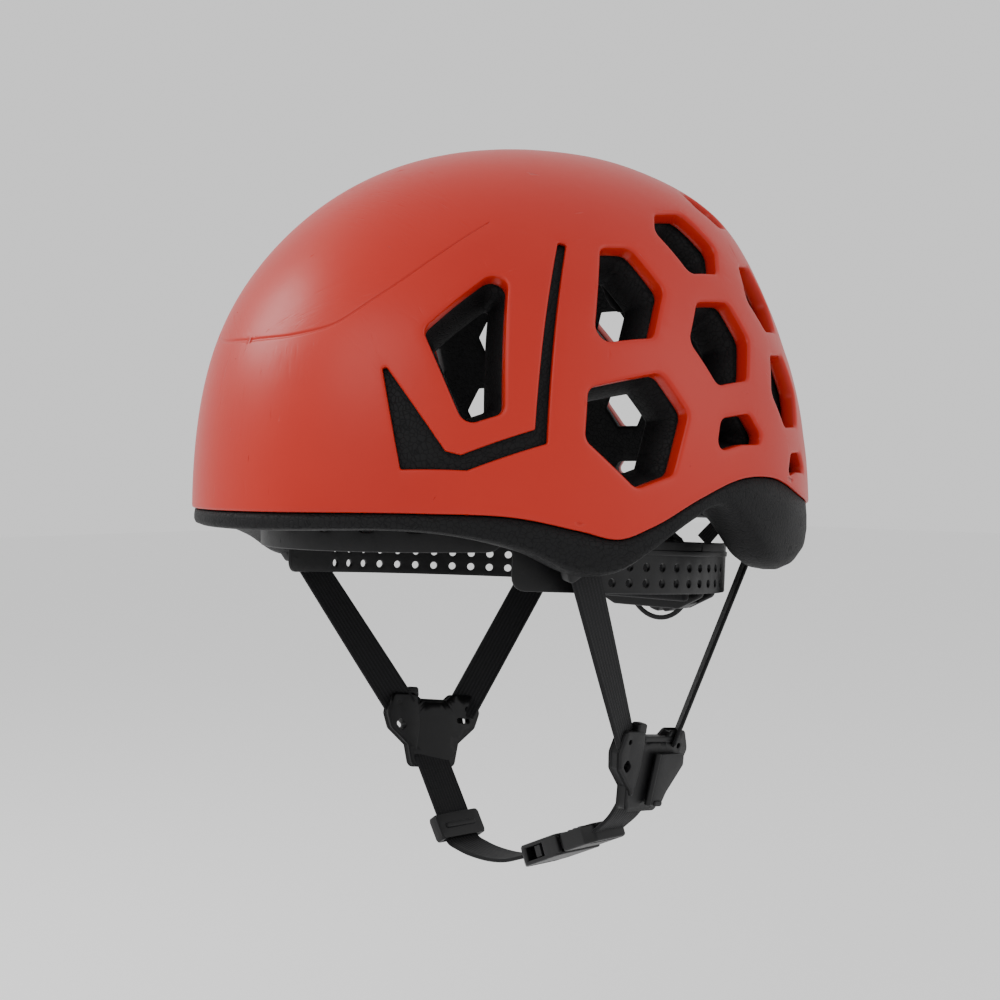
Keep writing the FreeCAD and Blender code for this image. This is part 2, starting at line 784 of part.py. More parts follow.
cradle_cover = new_body("cradle_cover", cradle_place)
pad(
    cradle_cover, "plate",
    [
        ("-housing_width / 2", "-housing_depth / 2 + 6"), ("-housing_width / 2 + 14", "-housing_depth / 2"),
        ("housing_width / 2 - 14", "-housing_depth / 2"), ("housing_width / 2", "-housing_depth / 2 + 6"),
        ("housing_width / 2", "housing_depth / 2"), ("-housing_width / 2", "housing_depth / 2"),
    ],
    "housing_wall + bay_depth", "cover_wall",
)
pocket_round(
    cradle_cover, "shaft_hole", "0", "0", "shaft_radius + shaft_clearance",
    "housing_wall + bay_depth + cover_wall", "cover_wall",
)
SCREW_SPOTS = [("-screw_across", "screw_up"), ("screw_across", "screw_up")]
for index, (x, y) in enumerate(SCREW_SPOTS):
    pocket_round(
        cradle_cover, f"screw_hole_{index}", x, y, "screw_radius",
        "housing_wall + bay_depth + cover_wall", "cover_wall",
    )
    pocket_round(
        cradle_housing, f"screw_seat_{index}", x, y, "screw_radius",
        "housing_wall + bay_depth", "bay_depth",
    )
pieces.append(cradle_cover)


def screw(name, x, y):
    """One cover screw: a shank through the cover and a head on its rear face."""
    shank = doc.addObject("Part::Cylinder", f"{name}_shank")
    shank.setExpression("Radius", bound("screw_radius"))
    shank.setExpression("Height", bound("bay_depth + cover_wall"))
    spot = Vector(worked(x), worked(y), size("housing_wall"))
    shank.Placement = FreeCAD.Placement(spot, FreeCAD.Rotation())
    head = doc.addObject("Part::Cylinder", f"{name}_head")
    head.setExpression("Radius", bound("screw_head_radius"))
    head.setExpression("Height", bound("screw_head_wall"))
    rise = Vector(0, 0, size("bay_depth") + size("cover_wall"))
    head.Placement = FreeCAD.Placement(spot + rise, FreeCAD.Rotation())
    whole = doc.addObject("Part::Fuse", name)
    whole.Base, whole.Tool = shank, head
    return whole


screws = [screw(f"screw_{i}", x, y) for i, (x, y) in enumerate(SCREW_SPOTS)]
cover_screws = doc.addObject("Part::Compound", "cover_screws")
cover_screws.Label = "cover_screws"
cover_screws.Links = screws
cover_screws.Placement = cradle_place
pieces.append(cover_screws)

WHEEL_LEVEL = "housing_wall + bay_depth + cover_wall + play"
adjuster_wheel = new_body("adjuster_wheel", cradle_place)
pad_round(adjuster_wheel, "disc", "0", "0", "wheel_radius", WHEEL_LEVEL, "wheel_wall")
pocket_round(
    adjuster_wheel, "shaft_seat", "0", "0", "shaft_radius", f"{WHEEL_LEVEL} + wheel_wall", "wheel_wall"
)
grip = pocket_round(
    adjuster_wheel, "grip", "0", "wheel_radius + grip_radius / 2", "grip_radius",
    f"{WHEEL_LEVEL} + wheel_wall", "wheel_wall",
)
repeated_round(adjuster_wheel, "grips", grip, "grip_count")
pieces.append(adjuster_wheel)

# The pinion's own axis is its Z. One tooth points up and one down, so both racks meet it alike.
wheel_pinion = new_body("wheel_pinion", cradle_place)
pad_round(
    wheel_pinion, "shaft", "0", "0", "shaft_radius",
    "housing_wall + rack_gap", "bay_depth - rack_gap + cover_wall + play + wheel_wall",
)
pad_round(
    wheel_pinion, "hub", "0", "0", "hub_radius", "housing_wall + rack_gap", "bay_depth - 2 * rack_gap"
)
tooth = pad(
    wheel_pinion, "tooth",
    [
        ("-tooth_half_root", "shaft_radius"), ("tooth_half_root", "shaft_radius"),
        ("tooth_half_root", "hub_radius"), ("tooth_half_tip", "tooth_tip"),
        ("-tooth_half_tip", "tooth_tip"), ("-tooth_half_root", "hub_radius"),
    ],
    "housing_wall + rack_gap", "bay_depth - 2 * rack_gap",
)
repeated_round(wheel_pinion, "teeth", tooth, "tooth_count")
pieces.append(wheel_pinion)


RACK_TEETH = 12


def rack(name, place):
    """A straight toothed strip above the pinion, its teeth pointing down."""
    body = new_body(name, place)
    level, wall = "housing_wall + rack_gap", "bay_depth - 2 * rack_gap"
    pad(
        body, "bar",
        block_corners("-rack_length + rack_overlap", "rack_overlap", "rack_line", "rack_line + rack_back"),
        level, wall,
    )
    start, root = "-8.5 * tooth_pitch", "rack_line + tooth_half_tip"
    first = pad(
        body, "first_tooth",
        [(f"{start} - rack_tooth_half", root), (f"{start} - tooth_half_tip", "rack_tooth_tip"),
         (f"{start} + tooth_half_tip", "rack_tooth_tip"), (f"{start} + rack_tooth_half", root)],
        level, wall,
    )
    repeated_along(body, "teeth", first, RACK_TEETH, f"{RACK_TEETH - 1} * tooth_pitch")
    return body


rack_left = rack("rack_left", cradle_place)
half_turn = FreeCAD.Placement(Vector(), FreeCAD.Rotation(Vector(0, 0, 1), 180))
rack_right = rack("rack_right", cradle_place.multiply(half_turn))
pieces += [rack_left, rack_right]

# A leaf between the cover and the wheel whose raised end clicks past the wheel's back.
wheel_detent = new_body("wheel_detent", cradle_place)
pad(
    wheel_detent, "leaf",
    block_corners("detent_start", "detent_start + detent_length", "-detent_width / 2", "detent_width / 2"),
    "housing_wall + bay_depth + cover_wall", "play / 2",
)
pieces.append(wheel_detent)

# The hangers carry the cradle from clips on the foam; they are soft enough to fold.
clip_way = (fitted(0.42, 0.725, 16) - MIDDLE).normalize()
CLIP = MIDDLE + clip_way * (reach(clip_way) - FOAM_BOTTOM - size("clip_room"))
CRADLE_END = Vector(size("housing_width") / 2 - 3, size("wheel_y") + 4, size("wheel_z") + 15.6)
hanger = strap_between(CLIP, CRADLE_END, Vector(1, -0.35, 0), Vector(1, 0, 0), 9)
pieces.append(shaped("hanger_left", hanger))
pieces.append(shaped("hanger_right", hanger.mirror(*MIRROR)))

nape_pad_place = frame_at(
    (0, size("wheel_y") - size("pad_gap"), size("wheel_z")), (1, 0, 0), (0, 0, 1)
)
nape_pad = new_body("nape_pad", nape_pad_place)
pad(
    nape_pad, "cushion",
    block_corners("-housing_width / 2 + 4", "housing_width / 2 - 4", "-housing_depth / 2 + 3",
                  "housing_depth / 2 - 3"),
    "0", "pad_wall",
)
pieces.append(nape_pad)

# ---------------------------------------------------------------- dividers

ear_line = (EAR_REAR - EAR_FRONT).normalize()
top_middle = (EAR_FRONT + EAR_REAR) * 0.5
divider_up = (top_middle - FOOT).normalize()
divider_place = frame_at(top_middle, ear_line, divider_up)

divider_left = new_body("divider_left", divider_place)
pad(
    divider_left, "plate",
    [
        ("-divider_width / 2", "-3"), ("-divider_width / 2 + 4", "4"), ("-divider_width / 2 + 13", "4"),
        ("-divider_width / 2 + 16", "1"), ("divider_width / 2 - 16", "1"), ("divider_width / 2 - 13", "4"),
        ("divider_width / 2 - 4", "4"), ("divider_width / 2", "-3"), ("divider_width / 2 - 2", "-9"),
        ("divider_foot / 2 + 1", "-divider_rise + 8"), ("divider_foot / 2 - 1", "-divider_rise"),
        ("-divider_foot / 2 + 1", "-divider_rise"), ("-divider_foot / 2 - 1", "-divider_rise + 8"),
        ("-divider_width / 2 + 2", "-9"),
    ],
    "-divider_wall / 2", "divider_wall",
)
pocket(
    divider_left, "eye",
    [("-divider_width / 2 + 4", "-8"), ("-divider_width / 2 + 7", "-11"),
     ("-divider_width / 2 + 9", "-9"), ("-divider_width / 2 + 6", "-6")],
    "divider_wall / 2", "divider_wall",
)
divider_right = mirrored(divider_left, "divider_right")
pieces += [divider_left, divider_right]

# The lock is a flap on a round hinge barrel that lies along the divider's middle.
flap = new_body("divider_flap", divider_place)
pad(
    flap, "flap",
    [("lock_hinge", "-lock_top"), ("divider_width / 2 - 5", "-lock_top"), ("divider_width / 2 - 4", "-8"),
     ("divider_foot / 2", "-divider_rise + 7"), ("divider_foot / 2 - 2", "-divider_rise + 2"),
     ("lock_hinge", "-divider_rise + 2")],
    "divider_wall / 2 + lock_gap", "lock_wall",
)
barrel = doc.addObject("Part::Cylinder", "divider_lock_barrel")
barrel.setExpression("Radius", bound("lock_wall / 2"))
barrel.setExpression("Height", bound("divider_rise - 2 - lock_top"))
barrel_level = worked("divider_wall / 2 + lock_gap + lock_wall / 2")
barrel_foot = Vector(size("lock_hinge"), -size("lock_top"), barrel_level)
barrel.Placement = divider_place.multiply(
    FreeCAD.Placement(barrel_foot, FreeCAD.Rotation(Vector(1, 0, 0), 90))
)
divider_lock_left = doc.addObject("Part::Fuse", "divider_lock_left")
divider_lock_left.Base, divider_lock_left.Tool = flap, barrel
divider_lock_left.Label = "divider_lock_left"
divider_lock_right = mirrored(divider_lock_left, "divider_lock_right")
pieces += [divider_lock_left, divider_lock_right]

# ---------------------------------------------------------------- chin straps

BUCKLE_MIDDLE = Vector(27, CHIN_Y, -126.5)
BUCKLE_LEAN = 22.5
lean = math.radians(BUCKLE_LEAN)
buckle_along = Vector(math.cos(lean), 0, math.sin(lean))
buckle_place = frame_at(BUCKLE_MIDDLE, buckle_along, (0, 1, 0))
SOCKET_END = -22.0
PLUG_END = SOCKET_END + size("socket_length") + size("buckle_gap") + size("plug_length")
SLIDER_MIDDLE = Vector(-43.5, CHIN_Y, -131)

socket_tip = BUCKLE_MIDDLE + buckle_along * (SOCKET_END + 1)
plug_tip = BUCKLE_MIDDLE + buckle_along * (PLUG_END - 1)
foot_left = Vector(FOOT.x, CHIN_Y, FOOT.z + EAR_OVERLAP)
foot_right = Vector(-FOOT.x, CHIN_Y, FOOT.z + EAR_OVERLAP)


def flat_path(points, width):
    """Webbing whose path lies in the plane across the chin, with its width along Y."""
    half = size("web_wall") / 2
    upper, lower = [], []
    for i, p in enumerate(points):
        before = points[max(i - 1, 0)]
        after = points[min(i + 1, len(points) - 1)]
        along = (after - before).normalize()
        normal = Vector(-along.z, 0, along.x)
        upper.append(p + normal * half)
        lower.append(p - normal * half)
    outline = upper + lower[::-1]
    face = Part.Face(Part.makePolygon(outline + outline[:1]))
    face.translate(Vector(0, -width / 2, 0))
    return face.extrude(Vector(0, width, 0))


left_route = [foot_left, (foot_left + plug_tip) * 0.5 + Vector(1, 0, -1), plug_tip]
pieces.append(shaped("chin_strap_left", flat_path(left_route, size("chin_width"))))

slider_along = (SLIDER_MIDDLE - foot_right).normalize()
bend_start = SLIDER_MIDDLE + slider_along * (size("slider_length") / 2 + 0.5)
right_route = [
    foot_right, SLIDER_MIDDLE, bend_start, Vector(-33, CHIN_Y, -138.2), Vector(-20, CHIN_Y, -139.5),
    Vector(-6, CHIN_Y, -138.5), socket_tip,
]
pieces.append(shaped("chin_strap_right", flat_path(right_route, size("chin_width"))))

# ---------------------------------------------------------------- strap slider

slider_place = frame_at(SLIDER_MIDDLE, slider_along, (0, 1, 0))
strap_slider = new_body("strap_slider", slider_place)
pad(
    strap_slider, "sleeve",
    block_corners("-slider_length / 2", "slider_length / 2", "-slider_width / 2", "slider_width / 2"),
    "-web_wall / 2 - slider_gap - slider_skin", "web_wall + 2 * slider_gap + 2 * slider_skin",
)
tunnel = doc.addObject("Part::Box", "slider_tunnel")
tunnel.setExpression("Length", bound("slider_length + 4"))
tunnel.setExpression("Width", bound("chin_width + 2 * slider_gap"))
tunnel.setExpression("Height", bound("web_wall + 2 * slider_gap"))
tunnel_shift = Vector(
    -size("slider_length") / 2 - 2, -size("chin_width") / 2 - size("slider_gap"),
    -size("web_wall") / 2 - size("slider_gap"),
)
tunnel.Placement = slider_place.multiply(FreeCAD.Placement(tunnel_shift, FreeCAD.Rotation()))
strap_slider.Label = "slider_block"
slider = doc.addObject("Part::Cut", "strap_slider_open")
slider.Base, slider.Tool = strap_slider, tunnel
slider.Label = "strap_slider"
pieces.append(slider)

# ---------------------------------------------------------------- chin buckle

# Drawn with X along the strap, Y across it and Z towards the chin.
S0 = f"{SOCKET_END}"
S1 = f"{SOCKET_END} + socket_length"
SHOULDER = f"{SOCKET_END + 5}"
socket = new_body("buckle_socket", buckle_place)
pad(
    socket, "case",
    [(S0, "-buckle_width / 2 + 4"), (SHOULDER, "-buckle_width / 2"), (S1, "-buckle_width / 2"),
     (S1, "buckle_width / 2"), (SHOULDER, "buckle_width / 2"), (S0, "buckle_width / 2 - 4")],
    "-buckle_wall / 2", "buckle_wall",
)
socket.Label = "socket_case"


def buckle_box(name, start, end, low, high, bottom, top):
    """A straight block in the buckle's own directions, with sizes bound to the sheet."""
    block = doc.addObject("Part::Box", name)
    block.setExpression("Length", bound(f"( {end} ) - ( {start} )"))
    block.setExpression("Width", bound(f"( {high} ) - ( {low} )"))
    block.setExpression("Height", bound(f"( {top} ) - ( {bottom} )"))
    corner = Vector(worked(start), worked(low), worked(bottom))
    block.Placement = buckle_place.multiply(FreeCAD.Placement(corner, FreeCAD.Rotation()))
    return block


bay = buckle_box(
    "socket_bay", f"{SHOULDER} + 1", f"{S1} + 2",
    "-buckle_width / 2 + buckle_side", "buckle_width / 2 - buckle_side",
    "-buckle_wall / 2 + buckle_skin", "buckle_wall / 2 - buckle_skin",
)
windows = buckle_box(
    "socket_windows", f"{SHOULDER} + 2", f"{SHOULDER} + 12", "-buckle_width / 2 - 2", "buckle_width / 2 + 2",
    "-buckle_wall / 2 + buckle_skin", "buckle_wall / 2 - buckle_skin",
)
strap_slot = buckle_box(
    "socket_slot", f"{S0} + 1.5", f"{SHOULDER} - 1", "-chin_width / 2 + 1", "chin_width / 2 - 1",
    "-buckle_wall / 2 - 2", "buckle_wall / 2 + 2",
)
hollow = doc.addObject("Part::MultiFuse", "socket_hollow")
hollow.Shapes = [bay, windows, strap_slot]
buckle_socket = doc.addObject("Part::Cut", "socket_cut")
buckle_socket.Base, buckle_socket.Tool = socket, hollow
buckle_socket.Label = "buckle_socket"
pieces.append(buckle_socket)

P0 = f"{S1} + buckle_gap"
buckle_plug = new_body("buckle_plug", buckle_place)
pad(
    buckle_plug, "base",
    [(P0, "-buckle_width / 2 + 1"), (f"{P0} + plug_length - 4", "-buckle_width / 2 + 1"),
     (f"{P0} + plug_length", "-buckle_width / 2 + 4"), (f"{P0} + plug_length", "buckle_width / 2 - 4"),
     (f"{P0} + plug_length - 4", "buckle_width / 2 - 1"), (P0, "buckle_width / 2 - 1")],
    "-buckle_wall / 2 + 0.6", "buckle_wall - 1.2",
)
pad(
    buckle_plug, "tongue",
    block_corners(f"{SHOULDER} + 5", f"{P0} + 1", "-tongue_width / 2", "tongue_width / 2"),
    "-buckle_wall / 2 + buckle_skin + buckle_gap", "buckle_wall - 2 * buckle_skin - 2 * buckle_gap",
)
pieces.append(buckle_plug)


def prong(name, side):
    """One sprung prong: it bends about its round root, and its hook sits in the side window."""
    body = new_body(name, buckle_place)
    level = "-buckle_wall / 2 + buckle_skin + buckle_gap"
    wall = "buckle_wall - 2 * buckle_skin - 2 * buckle_gap"
    root, tip = f"{P0} - buckle_gap", f"{P0} - buckle_gap - prong_length"
    outer = "buckle_width / 2 - buckle_side - buckle_gap"
    inner = f"{outer} - prong_wall"
    bend = f"{root} - prong_wall / 2"
    corners = [
        (bend, inner), (bend, outer), (f"{tip} + 7", outer), (f"{tip} + 6.4", f"{outer} + prong_hook - 1"),
        (f"{tip} + 3", f"{outer} + prong_hook - 1.2"), (tip, f"{inner} + 1"), (tip, inner),
    ]
    if side < 0:
        corners = [(x, f"0 - ( {y} )") for x, y in corners[::-1]]
    pad(body, "arm", corners, level, wall)
    pad_round(body, "root", bend, f"{side} * ( {inner} + prong_wall / 2 )", "prong_wall / 2", level, wall)
    return body


pieces.append(prong("buckle_prong_rear", 1))
pieces.append(prong("buckle_prong_front", -1))

# ---------------------------------------------------------------- check and write

doc.recompute()
faults = []
for item in doc.Objects:
    if "Invalid" in item.State or "Error" in item.State:
        faults.append(f"{item.Label}: {item.State}")
for piece in pieces:
    if piece.Shape.isNull() or not piece.Shape.isValid():
        faults.append(f"{piece.Label}: shape is empty or not valid")
    elif piece.Shape.Volume <= 0:
        faults.append(f"{piece.Label}: volume {piece.Shape.Volume}")
if faults:
    raise SystemExit("\n".join(faults))

os.makedirs("parts", exist_ok=True)
for piece in pieces:
    piece.Shape.exportStep(f"parts/{piece.Label}.step")
    print(f"{piece.Label:20s} {piece.Shape.Volume / 1000:8.2f} cm3 {len(piece.Shape.Solids)} solids")
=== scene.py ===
# %% [markdown]
# # A climbing helmet
# This lesson builds the looks of a climbing helmet around a finished, jointed model of it. The
# model gives every piece its place and its motion. Here the hard shell, the foam, the pads, the
# webbing and the mouldings get the shapes and finishes that a maker would give them.
# All sizes are in metres, +Z is up, the front of the helmet faces -Y and the wearer's left is +X.

# %% Load the jointed model
import json
import math

import bmesh
import bpy
import numpy as np
from mathutils import Matrix, Vector
from mathutils.kdtree import KDTree


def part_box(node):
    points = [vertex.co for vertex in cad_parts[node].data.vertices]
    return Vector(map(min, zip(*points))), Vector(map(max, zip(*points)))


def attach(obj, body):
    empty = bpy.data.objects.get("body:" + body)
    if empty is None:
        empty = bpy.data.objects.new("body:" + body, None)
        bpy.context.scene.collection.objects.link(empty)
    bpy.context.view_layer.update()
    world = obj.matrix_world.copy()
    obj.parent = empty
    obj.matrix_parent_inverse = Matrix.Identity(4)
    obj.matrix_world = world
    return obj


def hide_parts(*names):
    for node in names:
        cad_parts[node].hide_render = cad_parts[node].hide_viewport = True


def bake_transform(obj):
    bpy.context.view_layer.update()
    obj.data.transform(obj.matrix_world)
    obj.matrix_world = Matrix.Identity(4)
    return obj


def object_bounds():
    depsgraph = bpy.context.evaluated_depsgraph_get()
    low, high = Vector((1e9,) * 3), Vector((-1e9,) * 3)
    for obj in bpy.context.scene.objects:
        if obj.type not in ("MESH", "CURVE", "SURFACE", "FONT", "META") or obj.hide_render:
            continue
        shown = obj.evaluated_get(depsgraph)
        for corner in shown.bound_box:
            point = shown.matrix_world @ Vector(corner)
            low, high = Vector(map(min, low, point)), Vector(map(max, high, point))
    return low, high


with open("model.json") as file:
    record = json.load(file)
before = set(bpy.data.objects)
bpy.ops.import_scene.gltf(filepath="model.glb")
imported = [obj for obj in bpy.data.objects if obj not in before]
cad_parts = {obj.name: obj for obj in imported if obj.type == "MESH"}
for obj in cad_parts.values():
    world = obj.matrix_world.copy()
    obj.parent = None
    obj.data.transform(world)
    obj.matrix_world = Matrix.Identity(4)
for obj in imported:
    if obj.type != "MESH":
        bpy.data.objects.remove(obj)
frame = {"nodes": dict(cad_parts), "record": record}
cad_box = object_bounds()
nodes = frame["nodes"]
body_of_node = {n: b for b, ns in frame["record"]["behaviour"]["bodies"].items() for n in ns}
slot_of_node = {s["node"]: s["material_slot"] for s in frame["record"]["subparts"]}
print("the model's box is", cad_box)

# %% [markdown]
# ## Camera
# A helmet is shown from its front left, level with its brim. A short lens close by would swell the
# brow, so the camera stands back and uses a long lens, which keeps the dome's true shape.

# %% The camera
LOOK_AT = Vector((0.0, -0.0035, 0.0098))
CAMERA_DISTANCE = 0.70
CAMERA_TURN = math.radians(48)
CAMERA_RISE = math.radians(1.45)
LENS = 62.5

back = Vector((
    math.sin(CAMERA_TURN) * math.cos(CAMERA_RISE),
    -math.cos(CAMERA_TURN) * math.cos(CAMERA_RISE),
    math.sin(CAMERA_RISE),
))
camera_data = bpy.data.cameras.new("camera")
camera_data.lens = LENS
camera_data.sensor_width = 36
camera_data.clip_start = 0.01
camera = bpy.data.objects.new("camera", camera_data)
camera.location = LOOK_AT + back * CAMERA_DISTANCE
camera.rotation_euler = back.to_track_quat("Z", "Y").to_euler()
bpy.context.collection.objects.link(camera)
bpy.context.scene.camera = camera
print("the camera stands at", tuple(round(v, 3) for v in camera.location))

# %% [markdown]
# ## Light
# A satin shell needs large soft lights, since a small one would leave a hard spot on it. A pale
# surround does most of the work. A panel high on the camera's left draws a highlight along the
# brow, and two weaker ones lift the front and the back.

# %% The lights
SURROUND_STRENGTH = 0.95


def panel_light(name, place, aim, width, height, power):
    """A soft rectangular panel that shines from a place towards a point."""
    data = bpy.data.lights.new(name, "AREA")
    data.shape = "RECTANGLE"
    data.size, data.size_y = width, height
    data.energy = power
    light = bpy.data.objects.new(name, data)
    light.location = place
    light.rotation_euler = (Vector(place) - Vector(aim)).to_track_quat("Z", "Y").to_euler()
    bpy.context.collection.objects.link(light)


panel_light("shoulder_panel", (-0.75, -0.75, 0.75), (0, -0.03, 0.06), 0.6, 0.5, 9)
panel_light("front_panel", (0.5, -1.3, 0.9), (0, 0, 0.03), 0.9, 0.7, 6)
panel_light("rear_panel", (1.1, 0.8, 0.5), (0, 0.02, 0.05), 0.8, 0.8, 3)

world = bpy.data.worlds.new("surround")
bpy.context.scene.world = world
world.use_nodes = True
world.node_tree.nodes["Background"].inputs["Color"].default_value = (1, 1, 1, 1)
world.node_tree.nodes["Background"].inputs["Strength"].default_value = SURROUND_STRENGTH
print("three panels and a surround of strength", SURROUND_STRENGTH)

# %% [markdown]
# ## Shader expressions
# A finish is easier to read as arithmetic than as a web of boxes. The small class below wraps a
# socket, so that `1 - mask * 0.3` adds the Math nodes by itself. Everything else comes from one
# method that adds any node.

# %% A shader value


class Val:
    """A shader value that ordinary arithmetic can be done on."""

    def __init__(self, finish, socket):
        self.finish, self.socket = finish, socket

    def math(self, operation, *others):
        values = dict(enumerate((self.socket, *others)))
        return self.finish.node("ShaderNodeMath", {"operation": operation}, values)

    def __add__(self, other): return self.math("ADD", other)
    def __radd__(self, other): return self.math("ADD", other)
    def __sub__(self, other): return self.math("SUBTRACT", other)
    def __mul__(self, other): return self.math("MULTIPLY", other)
    def __rmul__(self, other): return self.math("MULTIPLY", other)

    def __rsub__(self, other):
        values = {0: other, 1: self.socket}
        return self.finish.node("ShaderNodeMath", {"operation": "SUBTRACT"}, values)

    def clipped(self, low, high):
        """Stretch a range of this value onto 0 to 1, and hold it there."""
        values = {"Value": self.socket, 1: low, 2: high}
        return self.finish.node("ShaderNodeMapRange", {"clamp": True}, values)


print("a shader value can be added, subtracted, multiplied and clipped")

# %% [markdown]
# ## What a finish is
# A finish is one material with one principled shader. What is the same all over the piece is set
# on the shader's own sockets, and what varies over the surface is linked into them. Noise and
# cells are read in the piece's own metres, so that a grain keeps its real size on every piece.

# %% The finish class


class Finish:
    """A material with one principled shader and a few ways to vary it over a surface."""

    def __init__(self, name, colour, roughness, **fixed):
        self.material = bpy.data.materials.new(name)
        self.material.use_nodes = True
        self.tree = self.material.node_tree
        self.shader = self.tree.nodes["Principled BSDF"]
        self.set("Base Color", (*colour, 1))
        self.set("Roughness", roughness)
        for socket, value in fixed.items():
            self.shader.inputs[socket.replace("_", " ")].default_value = value

    def set(self, socket, value):
        target = self.shader.inputs[socket]
        if isinstance(value, Val):
            self.tree.links.new(value.socket, target)
        else:
            target.default_value = value

    def node(self, kind, settings=None, values=None, output=0):
        """Add any node: its settings first, then the values or links of its sockets."""
        added = self.tree.nodes.new(kind)
        for name, value in (settings or {}).items():
            setattr(added, name, value)
        for key, value in (values or {}).items():
            if isinstance(value, Val):
                value = value.socket
            if isinstance(value, bpy.types.NodeSocket):
                self.tree.links.new(value, added.inputs[key])
            else:
                added.inputs[key].default_value = value
        return Val(self, added.outputs[output])

    def place(self, scale=(1, 1, 1), kind="Object"):
        """Where a point is on the piece: in its own metres, or on its UV map."""
        spot = self.node("ShaderNodeTexCoord", output=kind)
        return self.node("ShaderNodeMapping", {}, {"Vector": spot, "Scale": scale})

    def noise(self, scale, detail=2.0, roughness=0.5, place=None):
        values = {"Scale": scale, "Detail": detail, "Roughness": roughness}
        values["Vector"] = place or self.place()
        return self.node("ShaderNodeTexNoise", {}, values)

    def cells(self, scale, feature="F1"):
        values = {"Scale": scale, "Vector": self.place()}
        return self.node("ShaderNodeTexVoronoi", {"feature": feature}, values)

    def mix(self, share, colour_a, colour_b):
        """A colour between two, by a share from 0 to 1."""
        values = {0: share, 6: (*colour_a, 1) if isinstance(colour_a, tuple) else colour_a,
                  7: (*colour_b, 1) if isinstance(colour_b, tuple) else colour_b}
        return self.node("ShaderNodeMix", {"data_type": "RGBA"}, values, output=2)

    def bump(self, height, depth, strength=1.0, under=None):
        """Raise the surface by a pattern, depth metres high."""
        values = {"Height": height, "Distance": depth, "Strength": strength}
        if under is not None:
            values["Normal"] = under
        normal = self.node("ShaderNodeBump", {}, values)
        self.set("Normal", normal)
        return normal


print("a finish can use noise, cells, a colour mix and a bump")

# %% [markdown]
# ## Shell plastic
# The shell is a satin sheet that was vacuum formed. Its colour is deep and even, so one flat
# colour comes close, but its gloss would look painted on. A slow cloud varies the tint a little,
# and a very fine ripple breaks the highlight, as the sheet's own grain does.

# %% Shell plastic


def shell_finish():
    f = Finish(
        "shell_plastic", (0.43, 0.013, 0.004), 0.36, Coat_Roughness=0.3, Specular_IOR_Level=0.28
    )
    cloud = f.noise(14, 3)
    fine = f.noise(420, 2)
    worn = f.noise(55, 6, 0.65)
    tint = f.mix(cloud.clipped(0.3, 0.7), (0.415, 0.011, 0.003), (0.445, 0.015, 0.005))
    f.set("Base Color", tint)
    f.set("Roughness", 0.33 + cloud * 0.05 + worn * 0.06 + fine * 0.03)
    f.set("Coat Weight", 0.08)
    ripple = f.bump(cloud, 0.0004, 0.25)
    f.bump(fine, 0.00004, 0.35, ripple)
    return f.material


print("the shell is a satin sheet")

# %% [markdown]
# ## Bead foam
# Expanded foam is steamed beads pressed together in a mould, so its face is a pavement of small
# rounded cells with dark joints. Voronoi cells give exactly that, at about two millimetres a bead.

# %% Bead foam
BEADS = 560


def foam_finish():
    f = Finish("bead_foam", (0.004, 0.004, 0.0045), 0.66, Specular_IOR_Level=0.16)
    beads = f.cells(BEADS)
    edges = f.cells(BEADS, "DISTANCE_TO_EDGE")
    gap = edges.clipped(0.0, 0.09)
    dust = f.noise(60, 4)
    f.set("Base Color", f.mix(gap * (0.6 + dust * 0.5), (0.0015, 0.0015, 0.002), (0.007, 0.007, 0.0075)))
    f.set("Roughness", 0.58 + dust * 0.18 - gap * 0.08)
    f.bump(gap - beads * 0.35, 0.0003, 0.45)
    return f.material


print("the foam has", BEADS, "beads a metre")

# %% [markdown]
# ## Moulded nylon
# The buckle, the dividers, the band and the adjuster are injection moulded. Their steel mould was
# spark eroded, which leaves an even, sandy grain that dulls the gloss. Fine noise is enough.

# %% Moulded nylon


def moulding_finish():
    f = Finish("moulded_nylon", (0.005, 0.005, 0.0055), 0.42, Specular_IOR_Level=0.26)
    grain = f.noise(1500, 3, 0.6)
    cloud = f.noise(45, 4)
    f.set("Base Color", f.mix(cloud.clipped(0.35, 0.7), (0.003, 0.003, 0.0035), (0.007, 0.007, 0.0075)))
    f.set("Roughness", 0.36 + grain * 0.12 + cloud * 0.08)
    f.bump(grain, 0.00008, 0.4)
    return f.material


print("the mouldings have a sandy grain")

# %% [markdown]
# ## Woven webbing
# Webbing could be built thread by thread, but at this size its weave is a texture. Two waves on
# the strap's own UV map, in metres, stand for warp and weft, so the weave follows every bend.

# %% Woven webbing


def webbing_finish():
    """A plain weave: warp ribs run along the strap, and picks cross them."""
    f = Finish(
        "woven_webbing", (0.006, 0.006, 0.0065), 0.75, Sheen_Weight=0.04, Specular_IOR_Level=0.2
    )
    spot = f.place(kind="UV")
    picks = f.node("ShaderNodeTexWave", {"bands_direction": "X"}, {"Scale": 260, "Vector": spot})
    ribs = f.node("ShaderNodeTexWave", {"bands_direction": "Y"}, {"Scale": 210, "Vector": spot})
    weave = ribs * (0.6 + picks * 0.4)
    fuzz = f.noise(900, 4, 0.7)
    f.set("Base Color", f.mix(weave * 0.7 + fuzz * 0.4, (0.002, 0.002, 0.0025), (0.011, 0.011, 0.012)))
    f.set("Roughness", 0.68 + fuzz * 0.2)
    f.bump(weave + fuzz * 0.3, 0.0002, 0.6)
    return f.material


print("the webbing is a plain weave")

# %% [markdown]
# ## Pad knit
# The comfort pads are covered in a brushed knit. Cells a millimetre or so wide are its stitches,
# and rough noise over them is its nap. A little sheen lightens it where it turns away.

# %% Pad knit


